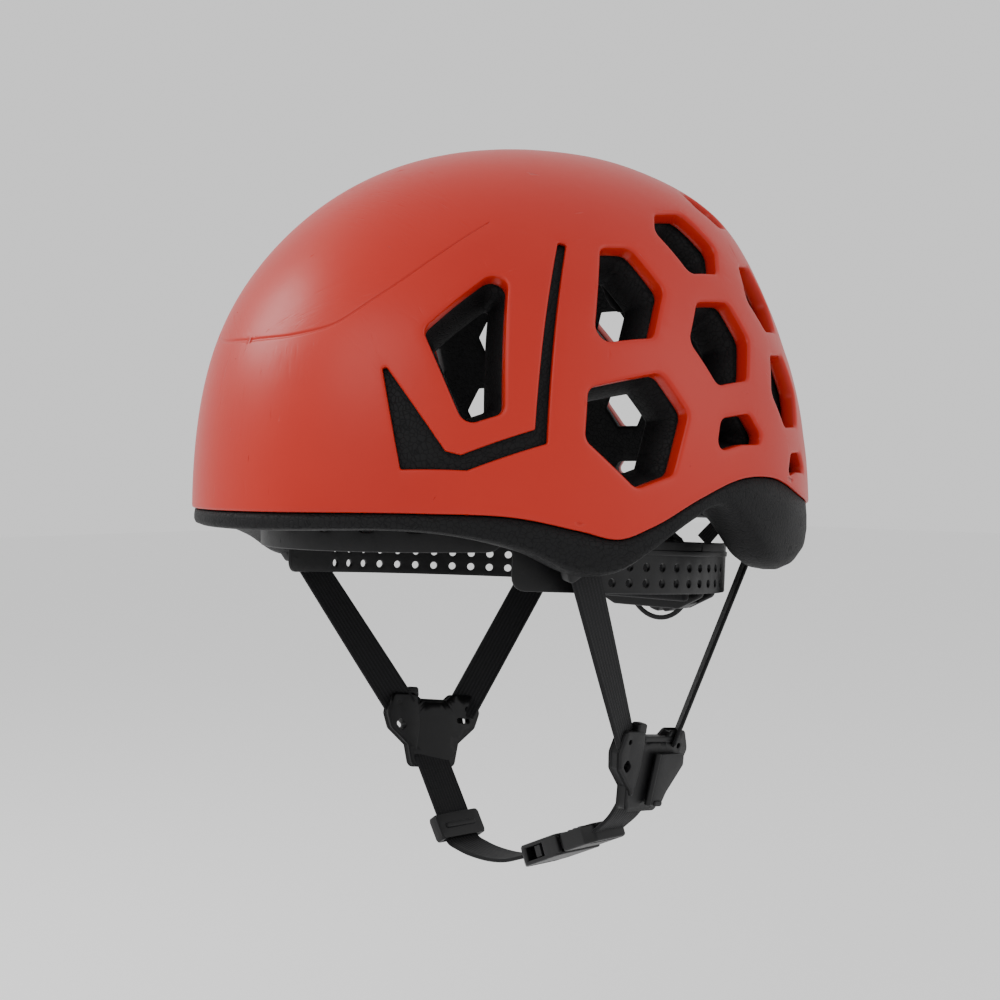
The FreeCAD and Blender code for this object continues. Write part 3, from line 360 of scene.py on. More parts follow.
def pad_finish():
    f = Finish("pad_knit", (0.008, 0.008, 0.009), 0.85, Sheen_Weight=0.1, Specular_IOR_Level=0.2)
    nap = f.noise(900, 5, 0.75)
    knit = f.cells(700)
    f.set("Base Color", f.mix(nap, (0.003, 0.003, 0.004), (0.014, 0.014, 0.015)))
    f.set("Roughness", 0.8 + nap * 0.15)
    f.bump(knit * 0.6 + nap, 0.0003, 0.5)
    return f.material


print("the pads are a brushed knit")

# %% [markdown]
# ## Blackened steel
# The cover's screws and the click spring are the only metal. Noise that is stretched along one
# axis leaves the fine lines of drawn and brushed steel.

# %% Blackened steel, and a finish for every piece


def steel_finish():
    f = Finish("blackened_steel", (0.16, 0.16, 0.17), 0.35, Metallic=1.0)
    brushed = f.noise(300, 4, 0.6, f.place((1, 1, 14)))
    f.set("Roughness", 0.28 + brushed * 0.2)
    f.bump(brushed, 0.00003, 0.4)
    return f.material


FINISHES = {
    "shell": shell_finish(), "foam": foam_finish(), "pad": pad_finish(), "webbing": webbing_finish(),
    "band": moulding_finish(), "moulding": moulding_finish(), "screw": steel_finish(),
    "spring": steel_finish(),
}
for name, node in nodes.items():
    node.data.materials.clear()
    node.data.materials.append(FINISHES[slot_of_node[name]])
print("finishes:", ", ".join(FINISHES))

# %% [markdown]
# ## The dome as a map
# A helmet's shell, foam and pads are layers of one dome. It is far easier to draw them flat, as on
# a map, and to wrap the finished drawing around the dome at the end. The map's X and Y are
# the angles, in degrees, by which a point leans from straight up; its Z is the height above the
# dome's outside, in millimetres, so layers under it are negative.
#
# The dome itself is a rounded box between an ellipsoid and a brick: its powers say how square it
# is, and two gentle swellings fill out the crown behind and the brow in front.

# %% The dome's shape
MM = 0.001
shell_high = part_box("outer_shell")[1]
HALF_WIDTH = round(shell_high.x, 3)
HALF_LENGTH = round(shell_high.y, 3)
HEIGHT = 0.150
MIDDLE = np.array((0.0, 0.016, 0.0))
PLAN_POWER = 2.05
FRONT_POWER, SIDE_POWER, BACK_POWER = 2.3, 2.25, 2.15
CROWN_SWELL = (3.9 * MM, 58.7, 11.2)
BROW_SWELL = (1.8 * MM, 30.0, 15.0)


def reach(d):
    """Distance from the dome's middle to its outside along unit directions."""
    x, y, z = np.abs(d[:, 0]), d[:, 1], np.abs(d[:, 2])
    front = y < 0
    length = np.where(front, HALF_LENGTH + MIDDLE[1], HALF_LENGTH - MIDDLE[1])
    flat = np.maximum(np.hypot(x, y), 1e-9)
    backness = y / flat
    power = SIDE_POWER + (np.where(front, FRONT_POWER, BACK_POWER) - SIDE_POWER) * backness**2
    plan = ((x / HALF_WIDTH) ** PLAN_POWER + (np.abs(y) / length) ** PLAN_POWER) ** (1 / PLAN_POWER)
    r = (plan**power + (z / HEIGHT) ** power) ** (-1 / power)
    share = 0.5 + 0.5 * backness
    share = share * share * (3 - 2 * share)
    elevation = np.degrees(np.arcsin(np.clip(d[:, 2], -1, 1)))
    for (rise, middle, spread), part in ((CROWN_SWELL, share), (BROW_SWELL, 1 - share)):
        r = r + rise * np.exp(-(((elevation - middle) / spread) ** 2)) * part
    return r


crown_reach = reach(np.array([[0.0, 0.0, 1.0]]))[0]
print("the crown is", round(crown_reach / MM, 1), "mm above the middle")

# %% [markdown]
# ## Wrapping the map
# A point of the map first becomes a direction from the dome's middle. Heights are measured square
# to the surface, not along that direction, so that a wall keeps its thickness where the dome
# slopes. Four close neighbours of each point give that square direction.

# %% From map to dome
NEIGHBOUR = 0.2


def from_top(flat):
    """Unit directions of points on the map."""
    lean = np.radians(np.hypot(flat[:, 0], flat[:, 1]))
    turn = np.arctan2(flat[:, 1], flat[:, 0])
    return np.stack([np.sin(lean) * np.cos(turn), np.sin(lean) * np.sin(turn), np.cos(lean)], 1)


def wrapped(flat):
    """Points of the map, put on the dome: square to it by their height."""
    spots = []
    for dx, dy in ((0, 0), (NEIGHBOUR, 0), (-NEIGHBOUR, 0), (0, NEIGHBOUR), (0, -NEIGHBOUR)):
        d = from_top(flat[:, :2] + (dx, dy))
        spots.append(MIDDLE + d * reach(d)[:, None])
    normal = np.cross(spots[1] - spots[2], spots[3] - spots[4])
    normal /= np.linalg.norm(normal, axis=1)[:, None]
    return spots[0] + normal * (flat[:, 2:3] * MM)


def on_map(azimuth, elevation):
    """Azimuth 0 is the front and 90 the wearer's left."""
    a = math.radians(azimuth)
    return (90 - elevation) * math.sin(a), -(90 - elevation) * math.cos(a)


def on_dome(azimuth, elevation, height=0.0):
    return wrapped(np.array([[*on_map(azimuth, elevation), height]]))[0]


print("the crown is at", on_dome(0, 90).round(4))

# %% [markdown]
# ## Rounded outlines
# Every opening and every moulding starts as an outline of a few straight edges. The function below
# rounds its corners and can grow or shrink it. It always gives the same number of points, so that
# rings of different size can be joined into a wall. A boolean cut would be shorter to write, but
# it leaves no rounded lip.

# %% Rounded outlines
CORNER_ROOM = 0.42
SMALLEST_CORNER = 0.4
ARC_POINTS = 6
EDGE_STEP = 3.2


def offset_corner(before, corner, after, grow):
    """A corner of an outline whose two edges move outwards by a margin."""
    a = (corner - before) / np.linalg.norm(corner - before)
    b = (after - corner) / np.linalg.norm(after - corner)
    na, nb = np.array((a[1], -a[0])), np.array((b[1], -b[0]))
    return corner + (na + nb) * (grow / (1 + na @ nb))


def rounded(corners, radius, grow):
    """The outline through flat corners in millimetres, counter-clockwise, rounded and grown."""
    count = len(corners)
    moved = [
        offset_corner(corners[i - 1], corners[i], corners[(i + 1) % count], grow)
        for i in range(count)
    ]
    cuts = []
    for i, corner in enumerate(moved):
        to_before, to_after = moved[i - 1] - corner, moved[(i + 1) % count] - corner
        room = CORNER_ROOM * min(np.linalg.norm(to_before), np.linalg.norm(to_after))
        a, b = to_before / np.linalg.norm(to_before), to_after / np.linalg.norm(to_after)
        half = 0.5 * math.acos(np.clip(a @ b, -1, 1))
        turns_in = a[0] * b[1] - a[1] * b[0] > 0
        wanted = max(radius + (-grow if turns_in else grow), SMALLEST_CORNER)
        run = min(wanted / math.tan(half), room)
        bulge = run * math.tan(half)
        centre = corner + (a + b) / np.linalg.norm(a + b) * (run / math.cos(half))
        start, end = corner + a * run - centre, corner + b * run - centre
        sweep = math.atan2(start[0] * end[1] - start[1] * end[0], start @ end)
        first = math.atan2(start[1], start[0])
        arc = [
            centre + bulge * np.array((math.cos(turn), math.sin(turn)))
            for turn in first + sweep * np.arange(ARC_POINTS + 1) / ARC_POINTS
        ]
        cuts.append(arc)
    points = []
    for i, arc in enumerate(cuts):
        points += arc
        length = np.linalg.norm(corners[(i + 1) % count] - corners[i])
        steps = max(2, round(length / EDGE_STEP))
        for k in range(1, steps):
            points.append(arc[-1] + (cuts[(i + 1) % count][0] - arc[-1]) * (k / steps))
    return np.array(points)


square = np.array([(0.0, 0.0), (10.0, 0.0), (10.0, 10.0), (0.0, 10.0)])
print("a rounded square has", len(rounded(square, 2, 0)), "points")

# %% [markdown]
# ## Drawing an opening
# A vent is drawn flat, square to the dome at its own middle, as a maker's cutter would be set. The
# outline is then pushed out onto the dome and read back as places on the map. The right side of
# the helmet mirrors the left.

# %% Openings on the dome
SMALL_VENT = 7


class Opening:
    """One vent of the left side or of the middle, or the mirror of one."""

    def __init__(self, places, radius, mirror=False):
        points = np.array([on_dome(*p) for p in places])
        self.centre = points.mean(0)
        self.out = (self.centre - MIDDLE) / np.linalg.norm(self.centre - MIDDLE)
        self.across = np.cross((0, 0, 1), self.out)
        self.across /= np.linalg.norm(self.across)
        self.up = np.cross(self.out, self.across)
        flat = np.stack([(points - self.centre) @ self.across, (points - self.centre) @ self.up], 1) / MM
        turned = np.roll(flat, -1, 0)
        area = (flat[:, 0] * turned[:, 1] - flat[:, 1] * turned[:, 0]).sum()
        self.corners = flat if area > 0 else flat[::-1]
        self.radius, self.mirror = radius, mirror
        self.small = np.abs(flat).max(0).min() < SMALL_VENT

    def ring(self, grow):
        """The opening's edge on the map, grown by a margin in millimetres."""
        flat = rounded(self.corners, self.radius, grow) * MM
        p = self.centre + flat[:, :1] * self.across + flat[:, 1:] * self.up
        for _ in range(8):
            d = p - MIDDLE
            d /= np.linalg.norm(d, axis=1)[:, None]
            q = MIDDLE + d * reach(d)[:, None]
            p = p + ((q - p) @ self.out)[:, None] * self.out
        lean = np.degrees(np.arccos(np.clip(d[:, 2], -1, 1)))
        turn = np.arctan2(d[:, 1], d[:, 0])
        ring = np.stack([lean * np.cos(turn), lean * np.sin(turn)], 1)
        if self.mirror:
            ring = (ring * (-1, 1))[::-1]
        return ring


def cell(azimuth, elevation, radius):
    """The corners of a regular cell, as azimuth and elevation."""
    middle = on_dome(azimuth, elevation)
    out = (middle - MIDDLE) / np.linalg.norm(middle - MIDDLE)
    across = np.cross((0, 0, 1), out)
    across /= np.linalg.norm(across)
    up = np.cross(out, across)
    places = []
    for k in range(6):
        turn = math.radians(60 * k)
        p = middle + (across * math.cos(turn) + up * math.sin(turn)) * radius * MM - MIDDLE
        azimuth_k = math.degrees(math.atan2(p[0], -p[1]))
        places.append((azimuth_k, math.degrees(math.asin(p[2] / np.linalg.norm(p)))))
    return places


print("a vent is small if it reaches less than", SMALL_VENT, "mm from its middle one way")

# %% [markdown]
# ## The vents of this helmet
# At each temple a slot runs round three sides of a window, and leaves a tongue of shell that a
# headlamp's strap can hook under. Behind it, the vents open like a honeycomb. Seven of them a side
# are each a little different, so their corners are listed; the rest are regular six-sided cells.
# All places are an azimuth from the front and an elevation above the brim, in degrees.

# %% The openings of this helmet
VENT_CORNER = 4.5
WINDOW = [(29, 29.5), (42, 43), (42, 19), (36, 16.5)]
TONGUE_SLOT = [
    (23.5, 24.5), (27.2, 9.6), (36.5, 10.0), (48.9, 15.0), (53.9, 48.5), (52.0, 48.5),
    (46.9, 17.0), (35.6, 12.2), (33.4, 12.6),
]
HONEYCOMB = [
    [(62.5, 49.5), (71, 50.6), (77.8, 44), (72, 35), (58, 32)],
    [(56.5, 24.7), (72.7, 29), (79, 22.3), (74.4, 11), (65.8, 8.3), (55.7, 16.2)],
    [(85, 58.4), (97, 59), (104, 52.5), (99.4, 48), (88.4, 47.7), (81.4, 54.6)],
    [(87.7, 42.6), (99.5, 43), (103.6, 36.7), (99, 29), (88.4, 27.8), (82, 35.3)],
    [(88.3, 21.8), (97.9, 22.8), (103.3, 17), (94, 17), (86.3, 15.5)],
]
LOW_CELLS = [
    [(115.5, 15), (122.5, 15), (126, 10.8), (119, 11.2), (112.8, 10.4)],
    [(156, 14), (163, 14), (166, 9.6), (159.5, 9.8), (153, 9.6)],
]
REAR_CELLS = [
    (120.5, 61, 12), (119, 44, 15), (117.5, 27, 16),
    (139.5, 52.5, 14), (138.5, 35.5, 15.5), (138.5, 18.5, 14),
    (160, 60.5, 12), (159.5, 43.5, 15), (159.5, 26.5, 15.5),
]
CENTRE_CELLS = [(180, 52, 14), (180, 35, 15.5), (180, 18, 14)]

through, slots = [], []
for mirror in (False, True):
    slots.append(Opening(TONGUE_SLOT, 0.9, mirror))
    through.append(Opening(WINDOW, VENT_CORNER, mirror))
    through += [Opening(places, VENT_CORNER, mirror) for places in HONEYCOMB + LOW_CELLS]
    through += [Opening(cell(*c), VENT_CORNER, mirror) for c in REAR_CELLS]
through += [Opening(cell(*c), VENT_CORNER) for c in CENTRE_CELLS]
print(len(through), "vents and", len(slots), "tongue slots")

# %% [markdown]
# ## The brim
# Seen from the side, the shell's lower edge dips at the ear, rises in an arch behind it and runs
# level round the nape. The foam follows it lower down, with a lobe in front of the ear and one
# behind it. A smooth curve through a few stations gives both.

# %% Brim curves
SHELL_EDGE = [
    (-1.15, 8), (-0.75, 8), (-0.55, 6.4), (-0.38, 1.4), (-0.27, -1.7), (-0.17, 2.2),
    (0.0, 12), (0.17, 19), (0.32, 19.5), (0.57, 11.5), (0.8, 7.5), (1.15, 7),
]
FOAM_EDGE = [
    (-1.15, 0.5), (-0.7, 0.3), (-0.52, -6), (-0.36, -15), (-0.26, -14), (-0.16, -7),
    (-0.02, 3.5), (0.1, 9), (0.19, 2), (0.32, -12.5), (0.44, -17), (0.6, -13.5), (0.8, -2),
    (0.95, -0.5), (1.15, -0.5),
]


def brim_height(stations, y):
    """Height of an edge at distances y along the helmet, on a smooth curve."""
    s = np.array([p[0] for p in stations]) * HALF_LENGTH
    z = np.array([p[1] for p in stations]) * MM
    slope = np.gradient(z, s)
    i = np.clip(np.searchsorted(s, y) - 1, 0, len(s) - 2)
    width = s[i + 1] - s[i]
    t = np.clip((y - s[i]) / width, 0, 1)
    a, b = 2 * t**3 - 3 * t**2 + 1, t**3 - 2 * t**2 + t
    c, e = 3 * t**2 - 2 * t**3, t**3 - t**2
    return a * z[i] + b * width * slope[i] + c * z[i + 1] + e * width * slope[i + 1]


ear_y = np.array([-0.27 * HALF_LENGTH])
print("at the ear the shell ends at", (brim_height(SHELL_EDGE, ear_y) / MM).round(1), "mm")

# %% [markdown]
# ## The brim on the map
# The curve is known by its height, but the map wants angles. For each azimuth, halving a range of
# angles finds where the dome crosses the curve. It is slower than a formula, and needs none.

# %% Brim rings
BRIM_POINTS = 264
LEAST_LEAN, MOST_LEAN = 60.0, 107.0
HALVINGS = 40


def brim_ring(stations, lift):
    """The ring on the map that lies a lift, in millimetres, above a brim edge."""
    azimuths = np.radians(np.arange(BRIM_POINTS) * 360 / BRIM_POINTS)
    low, high = np.full(BRIM_POINTS, LEAST_LEAN), np.full(BRIM_POINTS, MOST_LEAN)
    for _ in range(HALVINGS):
        lean = (low + high) / 2
        p = wrapped(np.stack([lean * np.sin(azimuths), -lean * np.cos(azimuths), 0 * lean], 1))
        above = p[:, 2] > brim_height(stations, p[:, 1]) + lift * MM
        low, high = np.where(above, lean, low), np.where(above, high, lean)
    return np.stack([lean * np.sin(azimuths), -lean * np.cos(azimuths)], 1)


def blended_ring(a, b, share):
    return a + (b - a) * share


print("brim rings have", BRIM_POINTS, "points")

# %% [markdown]
# ## Filling the map
# One operator fills the space between rings with triangles, but they are long slivers that would
# crease when they are bent. So the long edges are split and the triangles evened out, a few times,
# until they are small enough to follow the dome.

# %% Filling between rings
FILL_ROUNDS = 9


def fill_map(rings, longest):
    """A flat field of small triangles between an outer ring and the rings inside it."""
    bm = bmesh.new()
    for ring in rings:
        verts = [bm.verts.new((x, y, 0)) for x, y in ring]
        for a, b in zip(verts, verts[1:] + verts[:1]):
            bm.edges.new((a, b))
    bmesh.ops.triangle_fill(bm, use_beauty=True, use_dissolve=False, edges=bm.edges[:], normal=(0, 0, 1))
    for _ in range(FILL_ROUNDS):
        long_edges = [e for e in bm.edges if not e.is_boundary and e.calc_length() > longest]
        if not long_edges:
            break
        bmesh.ops.subdivide_edges(bm, edges=long_edges, cuts=1)
        bmesh.ops.triangulate(bm, faces=[f for f in bm.faces if len(f.verts) > 3])
        inner = [e for e in bm.edges if not e.is_boundary]
        bmesh.ops.beautify_fill(bm, faces=bm.faces[:], edges=inner, method="ANGLE")
        free = [v for v in bm.verts if not v.is_boundary]
        bmesh.ops.smooth_vert(bm, verts=free, factor=0.5, use_axis_x=True, use_axis_y=True)
    for f in bm.faces:
        if f.normal.z < 0:
            f.normal_flip()
    return bm


sample = fill_map([square], 3)
print("a ten millimetre square fills with", len(sample.faces), "triangles")
sample.free()

# %% [markdown]
# ## Walls
# A wall goes down from an edge of the field in small steps: each step extrudes the last ring and
# moves it onto the next. That makes the rounded lips that catch a thin line of light.

# %% Walls by extrusion


def ring_verts(bm, ring):
    """The vertices of the flat field that lie on a ring, in the ring's order."""
    edge_verts = [v for v in bm.verts if v.is_boundary]
    tree = KDTree(len(edge_verts))
    for i, v in enumerate(edge_verts):
        tree.insert(v.co, i)
    tree.balance()
    return [edge_verts[tree.find((x, y, 0))[1]] for x, y in ring]


def wall_down(bm, verts, rings):
    """Extrude a closed run of vertices through rings of points."""
    for ring in rings:
        edges = [bm.edges.get((a, b)) for a, b in zip(verts, verts[1:] + verts[:1])]
        made = bmesh.ops.extrude_edge_only(bm, edges=edges)["geom"]
        fresh = {v for v in made if isinstance(v, bmesh.types.BMVert)}
        following = []
        for old, point in zip(verts, ring):
            new = next(e.other_vert(old) for e in old.link_edges if e.other_vert(old) in fresh)
            new.co = point
            following.append(new)
        verts = following
    return verts


def at_depth(ring, depth):
    return np.column_stack([ring, np.full(len(ring), -depth)])


def add_field(bm, rings, depth, longest):
    """Join another filled field to a layer, at a depth."""
    field = fill_map(rings, longest)
    for v in field.verts:
        v.co.z = -depth
    merge_into(bm, field)


def merge_into(bm, other):
    """Add one bmesh to another, and free it."""
    scrap = bpy.data.meshes.new("scrap")
    other.to_mesh(scrap)
    other.free()
    bm.from_mesh(scrap)
    bpy.data.meshes.remove(scrap)


print("a wall is a run of extrusions")

# %% [markdown]
# ## A closed layer
# A layer of the helmet is two skins with walls between them: one at the brim, and one in each
# opening. A groove is a shallow opening with a floor. The layer is drawn on the map, welded, and
# only then wrapped around the dome, or laid in the flat frame of a small part.

# %% Closing a layer
GROOVE_WALLS = [(0.9, 0), (0.45, 0.02), (0.15, 0.12), (0, 0.3)]
WELD = 0.002


def close_layer(holes, hole_walls, brim_walls, longest, place, grooves=()):
    """A closed layer. Walls are lists of (margin or ring, depth) from the outer face inwards."""
    top, bottom = brim_walls[0][1], brim_walls[-1][1]
    outer_rings = [brim_walls[0][0]] + [v.ring(walls[0][0]) for v, walls in zip(holes, hole_walls)]
    outer_rings += [v.ring(GROOVE_WALLS[0][0]) for v in grooves]
    inner_rings = [brim_walls[-1][0]] + [v.ring(walls[-1][0]) for v, walls in zip(holes, hole_walls)]
    bm = fill_map(outer_rings, longest)
    starts = [ring_verts(bm, ring) for ring in outer_rings]
    for v in bm.verts:
        v.co.z = -top
    wall_down(bm, starts[0], [at_depth(*step) for step in brim_walls[1:]])
    for hole, walls, start in zip(holes, hole_walls, starts[1:]):
        wall_down(bm, start, [at_depth(hole.ring(grow), depth) for grow, depth in walls[1:]])
    for groove, start in zip(grooves, starts[1 + len(holes):]):
        steps = [at_depth(groove.ring(grow), depth) for grow, depth in GROOVE_WALLS[1:]]
        wall_down(bm, start, steps)
        add_field(bm, [groove.ring(GROOVE_WALLS[-1][0])], GROOVE_WALLS[-1][1], longest)
    add_field(bm, inner_rings, bottom, longest)
    bmesh.ops.remove_doubles(bm, verts=bm.verts[:], dist=WELD)
    for v, p in zip(bm.verts, place(np.array([v.co for v in bm.verts]))):
        v.co = p
    bmesh.ops.recalc_face_normals(bm, faces=bm.faces[:])
    return bm


def finished(name, *parts):
    """A smooth-shaded object at the origin from one or more bmeshes."""
    bm = parts[0]
    for other in parts[1:]:
        merge_into(bm, other)
    open_edges = sum(1 for e in bm.edges if not e.is_manifold)
    mesh = bpy.data.meshes.new(name)
    bm.to_mesh(mesh)
    bm.free()
    mesh.shade_smooth()
    piece = bpy.data.objects.new(name, mesh)
    bpy.context.collection.objects.link(piece)
    print(f"{name}: {len(mesh.polygons)} faces, {open_edges} open edges")
    return piece


def dress(piece, node_name, slot_name):
    """Give a piece its finish, its body and the model's piece that it stands for."""
    piece.data.materials.append(FINISHES[slot_name])
    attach(piece, body_of_node[node_name])
    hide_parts(node_name)


def dress_between(piece, node_name, slot_name, start, end):
    """Give a piece its finish and hide the model's piece that it stands for; start and end are not used.
    """
    piece.data.materials.append(FINISHES[slot_name])
    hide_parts(node_name)
    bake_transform(piece)


print("a layer becomes a piece with a finish and a body")

# %% [markdown]
# ## The crease
# A fine line is pressed into the shell, across the front and up towards the crown, where it fades out.
# It is a groove as thin as a scratch, so it is drawn as a very narrow opening along a smooth path rather
# than as a bump, which would not be part of the mesh itself.

# %% The crease
CREASE = [
    (0.15, 26.2), (4, 26.3), (7.9, 26.5), (11, 27.1), (14.2, 27.9), (16.4, 28.8), (20.2, 32.3),
    (24.1, 35.8), (28.8, 40.9), (33.5, 45.9), (37, 49.2),
]
CREASE_POINTS, CREASE_ROUNDS = 60, 12


class Crease:
    """A fine line pressed into the shell, drawn as a long thin opening that fades out."""

    def __init__(self, places, mirror):
        rough = np.array([on_map(*p) for p in places])
        run = np.concatenate([[0], np.cumsum(np.linalg.norm(np.diff(rough, axis=0), axis=1))])
        spots = np.linspace(0, run[-1], CREASE_POINTS)
        line = np.stack([np.interp(spots, run, rough[:, k]) for k in (0, 1)], 1)
        for _ in range(CREASE_ROUNDS):
            line[1:-1] = (line[:-2] + 2 * line[1:-1] + line[2:]) / 4
        along = np.gradient(line, axis=0)
        along /= np.linalg.norm(along, axis=1)[:, None]
        self.line, self.side = line, np.stack([along[:, 1], -along[:, 0]], 1)
        self.share = np.sqrt(np.linspace(1, 0.1, len(line)))[:, None]
        self.mirror = mirror

    def ring(self, grow):
        half = (0.14 + grow * 0.45) * self.share
        ring = np.concatenate([self.line + self.side * half, (self.line - self.side * half)[::-1]])
        return (ring * (-1, 1))[::-1] if self.mirror else ring


creases = [Crease(CREASE, mirror) for mirror in (False, True)]
print("each crease has", CREASE_POINTS, "points on a side")

# %% [markdown]
# ## The hard shell
# The shell is formed from one sheet, and every vent's edge is drawn inwards as a short sleeve that
# holds the foam. The edge itself is a small round, which catches a thin line of light. Each wall
# below is a list of steps: how far the opening is grown, and how deep that step lies.

# %% Make the shell
SHELL_WALL = 1.8
LIP_WALLS = [
    (1.5, 0), (0.85, 0.12), (0.38, 0.42), (0.1, 0.9), (0, 1.5), (0, 4.5), (0.2, 5.8), (0.8, 6.3),
    (1.4, 5.9), (1.6, 4), (2.0, SHELL_WALL),
]
SLOT_WALLS = [(0.9, 0), (0.5, 0.08), (0.15, 0.35), (0, 0.8), (0, 1.9), (0.4, SHELL_WALL)]
SHELL_BRIM = [
    (3, 0), (1.0, 0), (0.35, 0.12), (0.05, 0.5), (0, 1.0), (0.1, 1.6), (0.6, 1.9), (3, SHELL_WALL),
]
SHELL_TRIANGLE = 2.4

shell_brim = [(brim_ring(SHELL_EDGE, lift), depth) for lift, depth in SHELL_BRIM]
shell_walls = [LIP_WALLS] * len(through) + [SLOT_WALLS] * len(slots)
shell_mesh = close_layer(
    through + slots, shell_walls, shell_brim, SHELL_TRIANGLE, wrapped, creases
)
dress(finished("shell", shell_mesh), "outer_shell", "shell")

# %% [markdown]
# ## The foam
# Expanded foam fills the shell and carries on below it, with a rounded lower edge. Its vents
# start behind the shell's sleeves and narrow on their way in, so that the mould's pins can be
# drawn out. The smallest vents narrow less, or they would close. The lower edge is rolled in steps
# between the shell's brim and the foam's own.

# %% Make the foam
FOAM_TOP, FOAM_BOTTOM = 2.3, 20.3
FOAM_TRIANGLE = 3.0
NARROWEST_SMALL = -1.2
FOAM_WALLS = [
    (2.9, FOAM_TOP), (2.3, 2.9), (2.1, 6.8), (0.9, 7.4), (-0.2, 8.4), (-2.2, 14), (-3.4, 19.0),
    (-3.0, 20.0), (-2.0, FOAM_BOTTOM),
]
SMALL_VENT_WALLS = [(max(grow, NARROWEST_SMALL), depth) for grow, depth in FOAM_WALLS]
shell_step = brim_ring(SHELL_EDGE, -0.6)
foam_rim = brim_ring(FOAM_EDGE, 0)
FOAM_ROLL = [
    (0.0, 1.1), (0.3, 0.8), (0.62, 0.8), (0.82, 1.3), (0.93, 3.0), (0.99, 6.5), (1.0, 10.5),
    (0.99, 14.5), (0.93, 17.6), (0.84, 19.4), (0.74, 20.1), (0.6, FOAM_BOTTOM),
]
foam_brim = [(brim_ring(SHELL_EDGE, 4), FOAM_TOP), (brim_ring(SHELL_EDGE, -0.3), FOAM_TOP)]
foam_brim += [(blended_ring(shell_step, foam_rim, share), depth) for share, depth in FOAM_ROLL]
foam_walls = [SMALL_VENT_WALLS if v.small else FOAM_WALLS for v in through]
foam_mesh = close_layer(through, foam_walls, foam_brim, FOAM_TRIANGLE, wrapped)
dress(finished("foam", foam_mesh), "foam_liner", "foam")

# %% [markdown]
# ## Flat mouldings
# Most of the small parts are plates with rounded corners and rounded edges. They could be boxes
# with a bevel, but a bevel fails where corners and holes lie close. An outline gives rings, as an
# opening does, so the same layer code makes them, edges and all.

# %% Outlines


class Outline:
    """A flat outline, in millimetres, with rounded corners."""

    def __init__(self, corners, radius):
        self.corners, self.radius = np.array(corners, float), radius

    def ring(self, grow):
        return rounded(self.corners, self.radius, grow)


class Disc:
    """A round outline; with lobes, its rim is scalloped for grip."""

    def __init__(self, x, y, radius, points=24, lobes=0, dip=0.0):
        turns = np.arange(points) * 2 * math.pi / points
        self.spokes = np.stack([np.cos(turns), np.sin(turns)], 1)
        self.reach = radius - dip * np.maximum(np.cos(lobes * turns), 0) ** 2
        self.centre = np.array((x, y))

    def ring(self, grow):
        return self.centre + self.spokes * (self.reach + grow)[:, None]


def block(left, right, low, high, radius):
    return Outline([(left, low), (right, low), (right, high), (left, high)], radius)


print("a grip wheel's rim is a disc with lobes")

# %% [markdown]
# ## A plate in its own frame
# Each plate is drawn flat, in millimetres, and placed by a frame: where its origin lies, which way
# its X runs, and roughly which way is up. Its edges turn through a quarter circle, top and bottom.

# %% Plates
EDGE_STEPS = 4
HOLE_EDGE = 0.3


def rounded_edge(wall, radius, sign):
    """Steps from the upper face to the lower one around two rounded edges."""
    turns = [math.radians(90 * k / EDGE_STEPS) for k in range(EDGE_STEPS + 1)]
    upper = [(sign * radius * (1 - math.sin(t)), radius * (1 - math.cos(t))) for t in turns]
    return upper + [(grow, wall - depth) for grow, depth in upper[::-1]]


def unit(v):
    v = np.array(v, float)
    return v / np.linalg.norm(v)


def in_frame(origin, x_axis, y_axis, mirror=False):
    """Places drawings from a flat frame; the Y axis only shows which way is up."""
    x = unit(x_axis)
    z = unit(np.cross(x, y_axis))
    y = np.cross(z, x)

    def place(flat):
        p = (np.array(origin) + flat[:, :1] * x + flat[:, 1:2] * y + flat[:, 2:] * z) * MM
        return p * (-1, 1, 1) if mirror else p

    return place


def plate(outline, top, wall, place, holes=(), edge=0.6, longest=7):
    """A plate whose upper face is at a level, with rounded edges and holes."""
    brim = [(outline.ring(grow), depth - top) for grow, depth in rounded_edge(wall, edge, -1)]
    steps = [(grow, depth - top) for grow, depth in rounded_edge(wall, HOLE_EDGE, 1)]
    return close_layer(list(holes), [steps] * len(holes), brim, longest, place)


print("a rounded edge has", EDGE_STEPS, "steps")

# %% [markdown]
# ## Around the head
# The head band is drawn unrolled: its X is the turn around the head, stretched so that a unit is
# about a millimetre, and its Y the height. Wrapping it on an oval, longer behind than in front,
# gives the shape that it has on a head. The sides are also tipped a little about the temples.

# %% The band's oval
BAND_MIDDLE = -8
BAND_HALF = 79.5
BAND_REAR_REACH, BAND_FRONT_REACH = 108, 96
BAND_STRETCH = 1.6
BAND_LOW, BAND_HIGH = -21, -1
TEMPLE_Y, TEMPLE_Z = -45, -6
TEMPLE_TURN = math.degrees(math.asin((TEMPLE_Y - BAND_MIDDLE) / BAND_FRONT_REACH))
REAR_TURN = 59


def around_head(slope, mirror=False):
    """Wraps an unrolled band around the head, tipped about the temples."""
    tip = math.radians(slope)

    def place(flat):
        turn = np.radians(flat[:, 0] / BAND_STRETCH)
        reach_y = np.where(turn > 0, BAND_REAR_REACH, BAND_FRONT_REACH)
        x = (BAND_HALF + flat[:, 2]) * np.cos(turn)
        y = BAND_MIDDLE + (reach_y + flat[:, 2]) * np.sin(turn)
        dy, dz = y - TEMPLE_Y, flat[:, 1] - TEMPLE_Z
        y = np.where(slope == 0, y, TEMPLE_Y + dy * math.cos(tip) - dz * math.sin(tip))
        z = TEMPLE_Z + dy * math.sin(tip) + dz * math.cos(tip)
        return np.stack([-x if mirror else x, y, z], 1) * MM

    return place


print("the temples are at a turn of", round(TEMPLE_TURN, 1), "degrees")
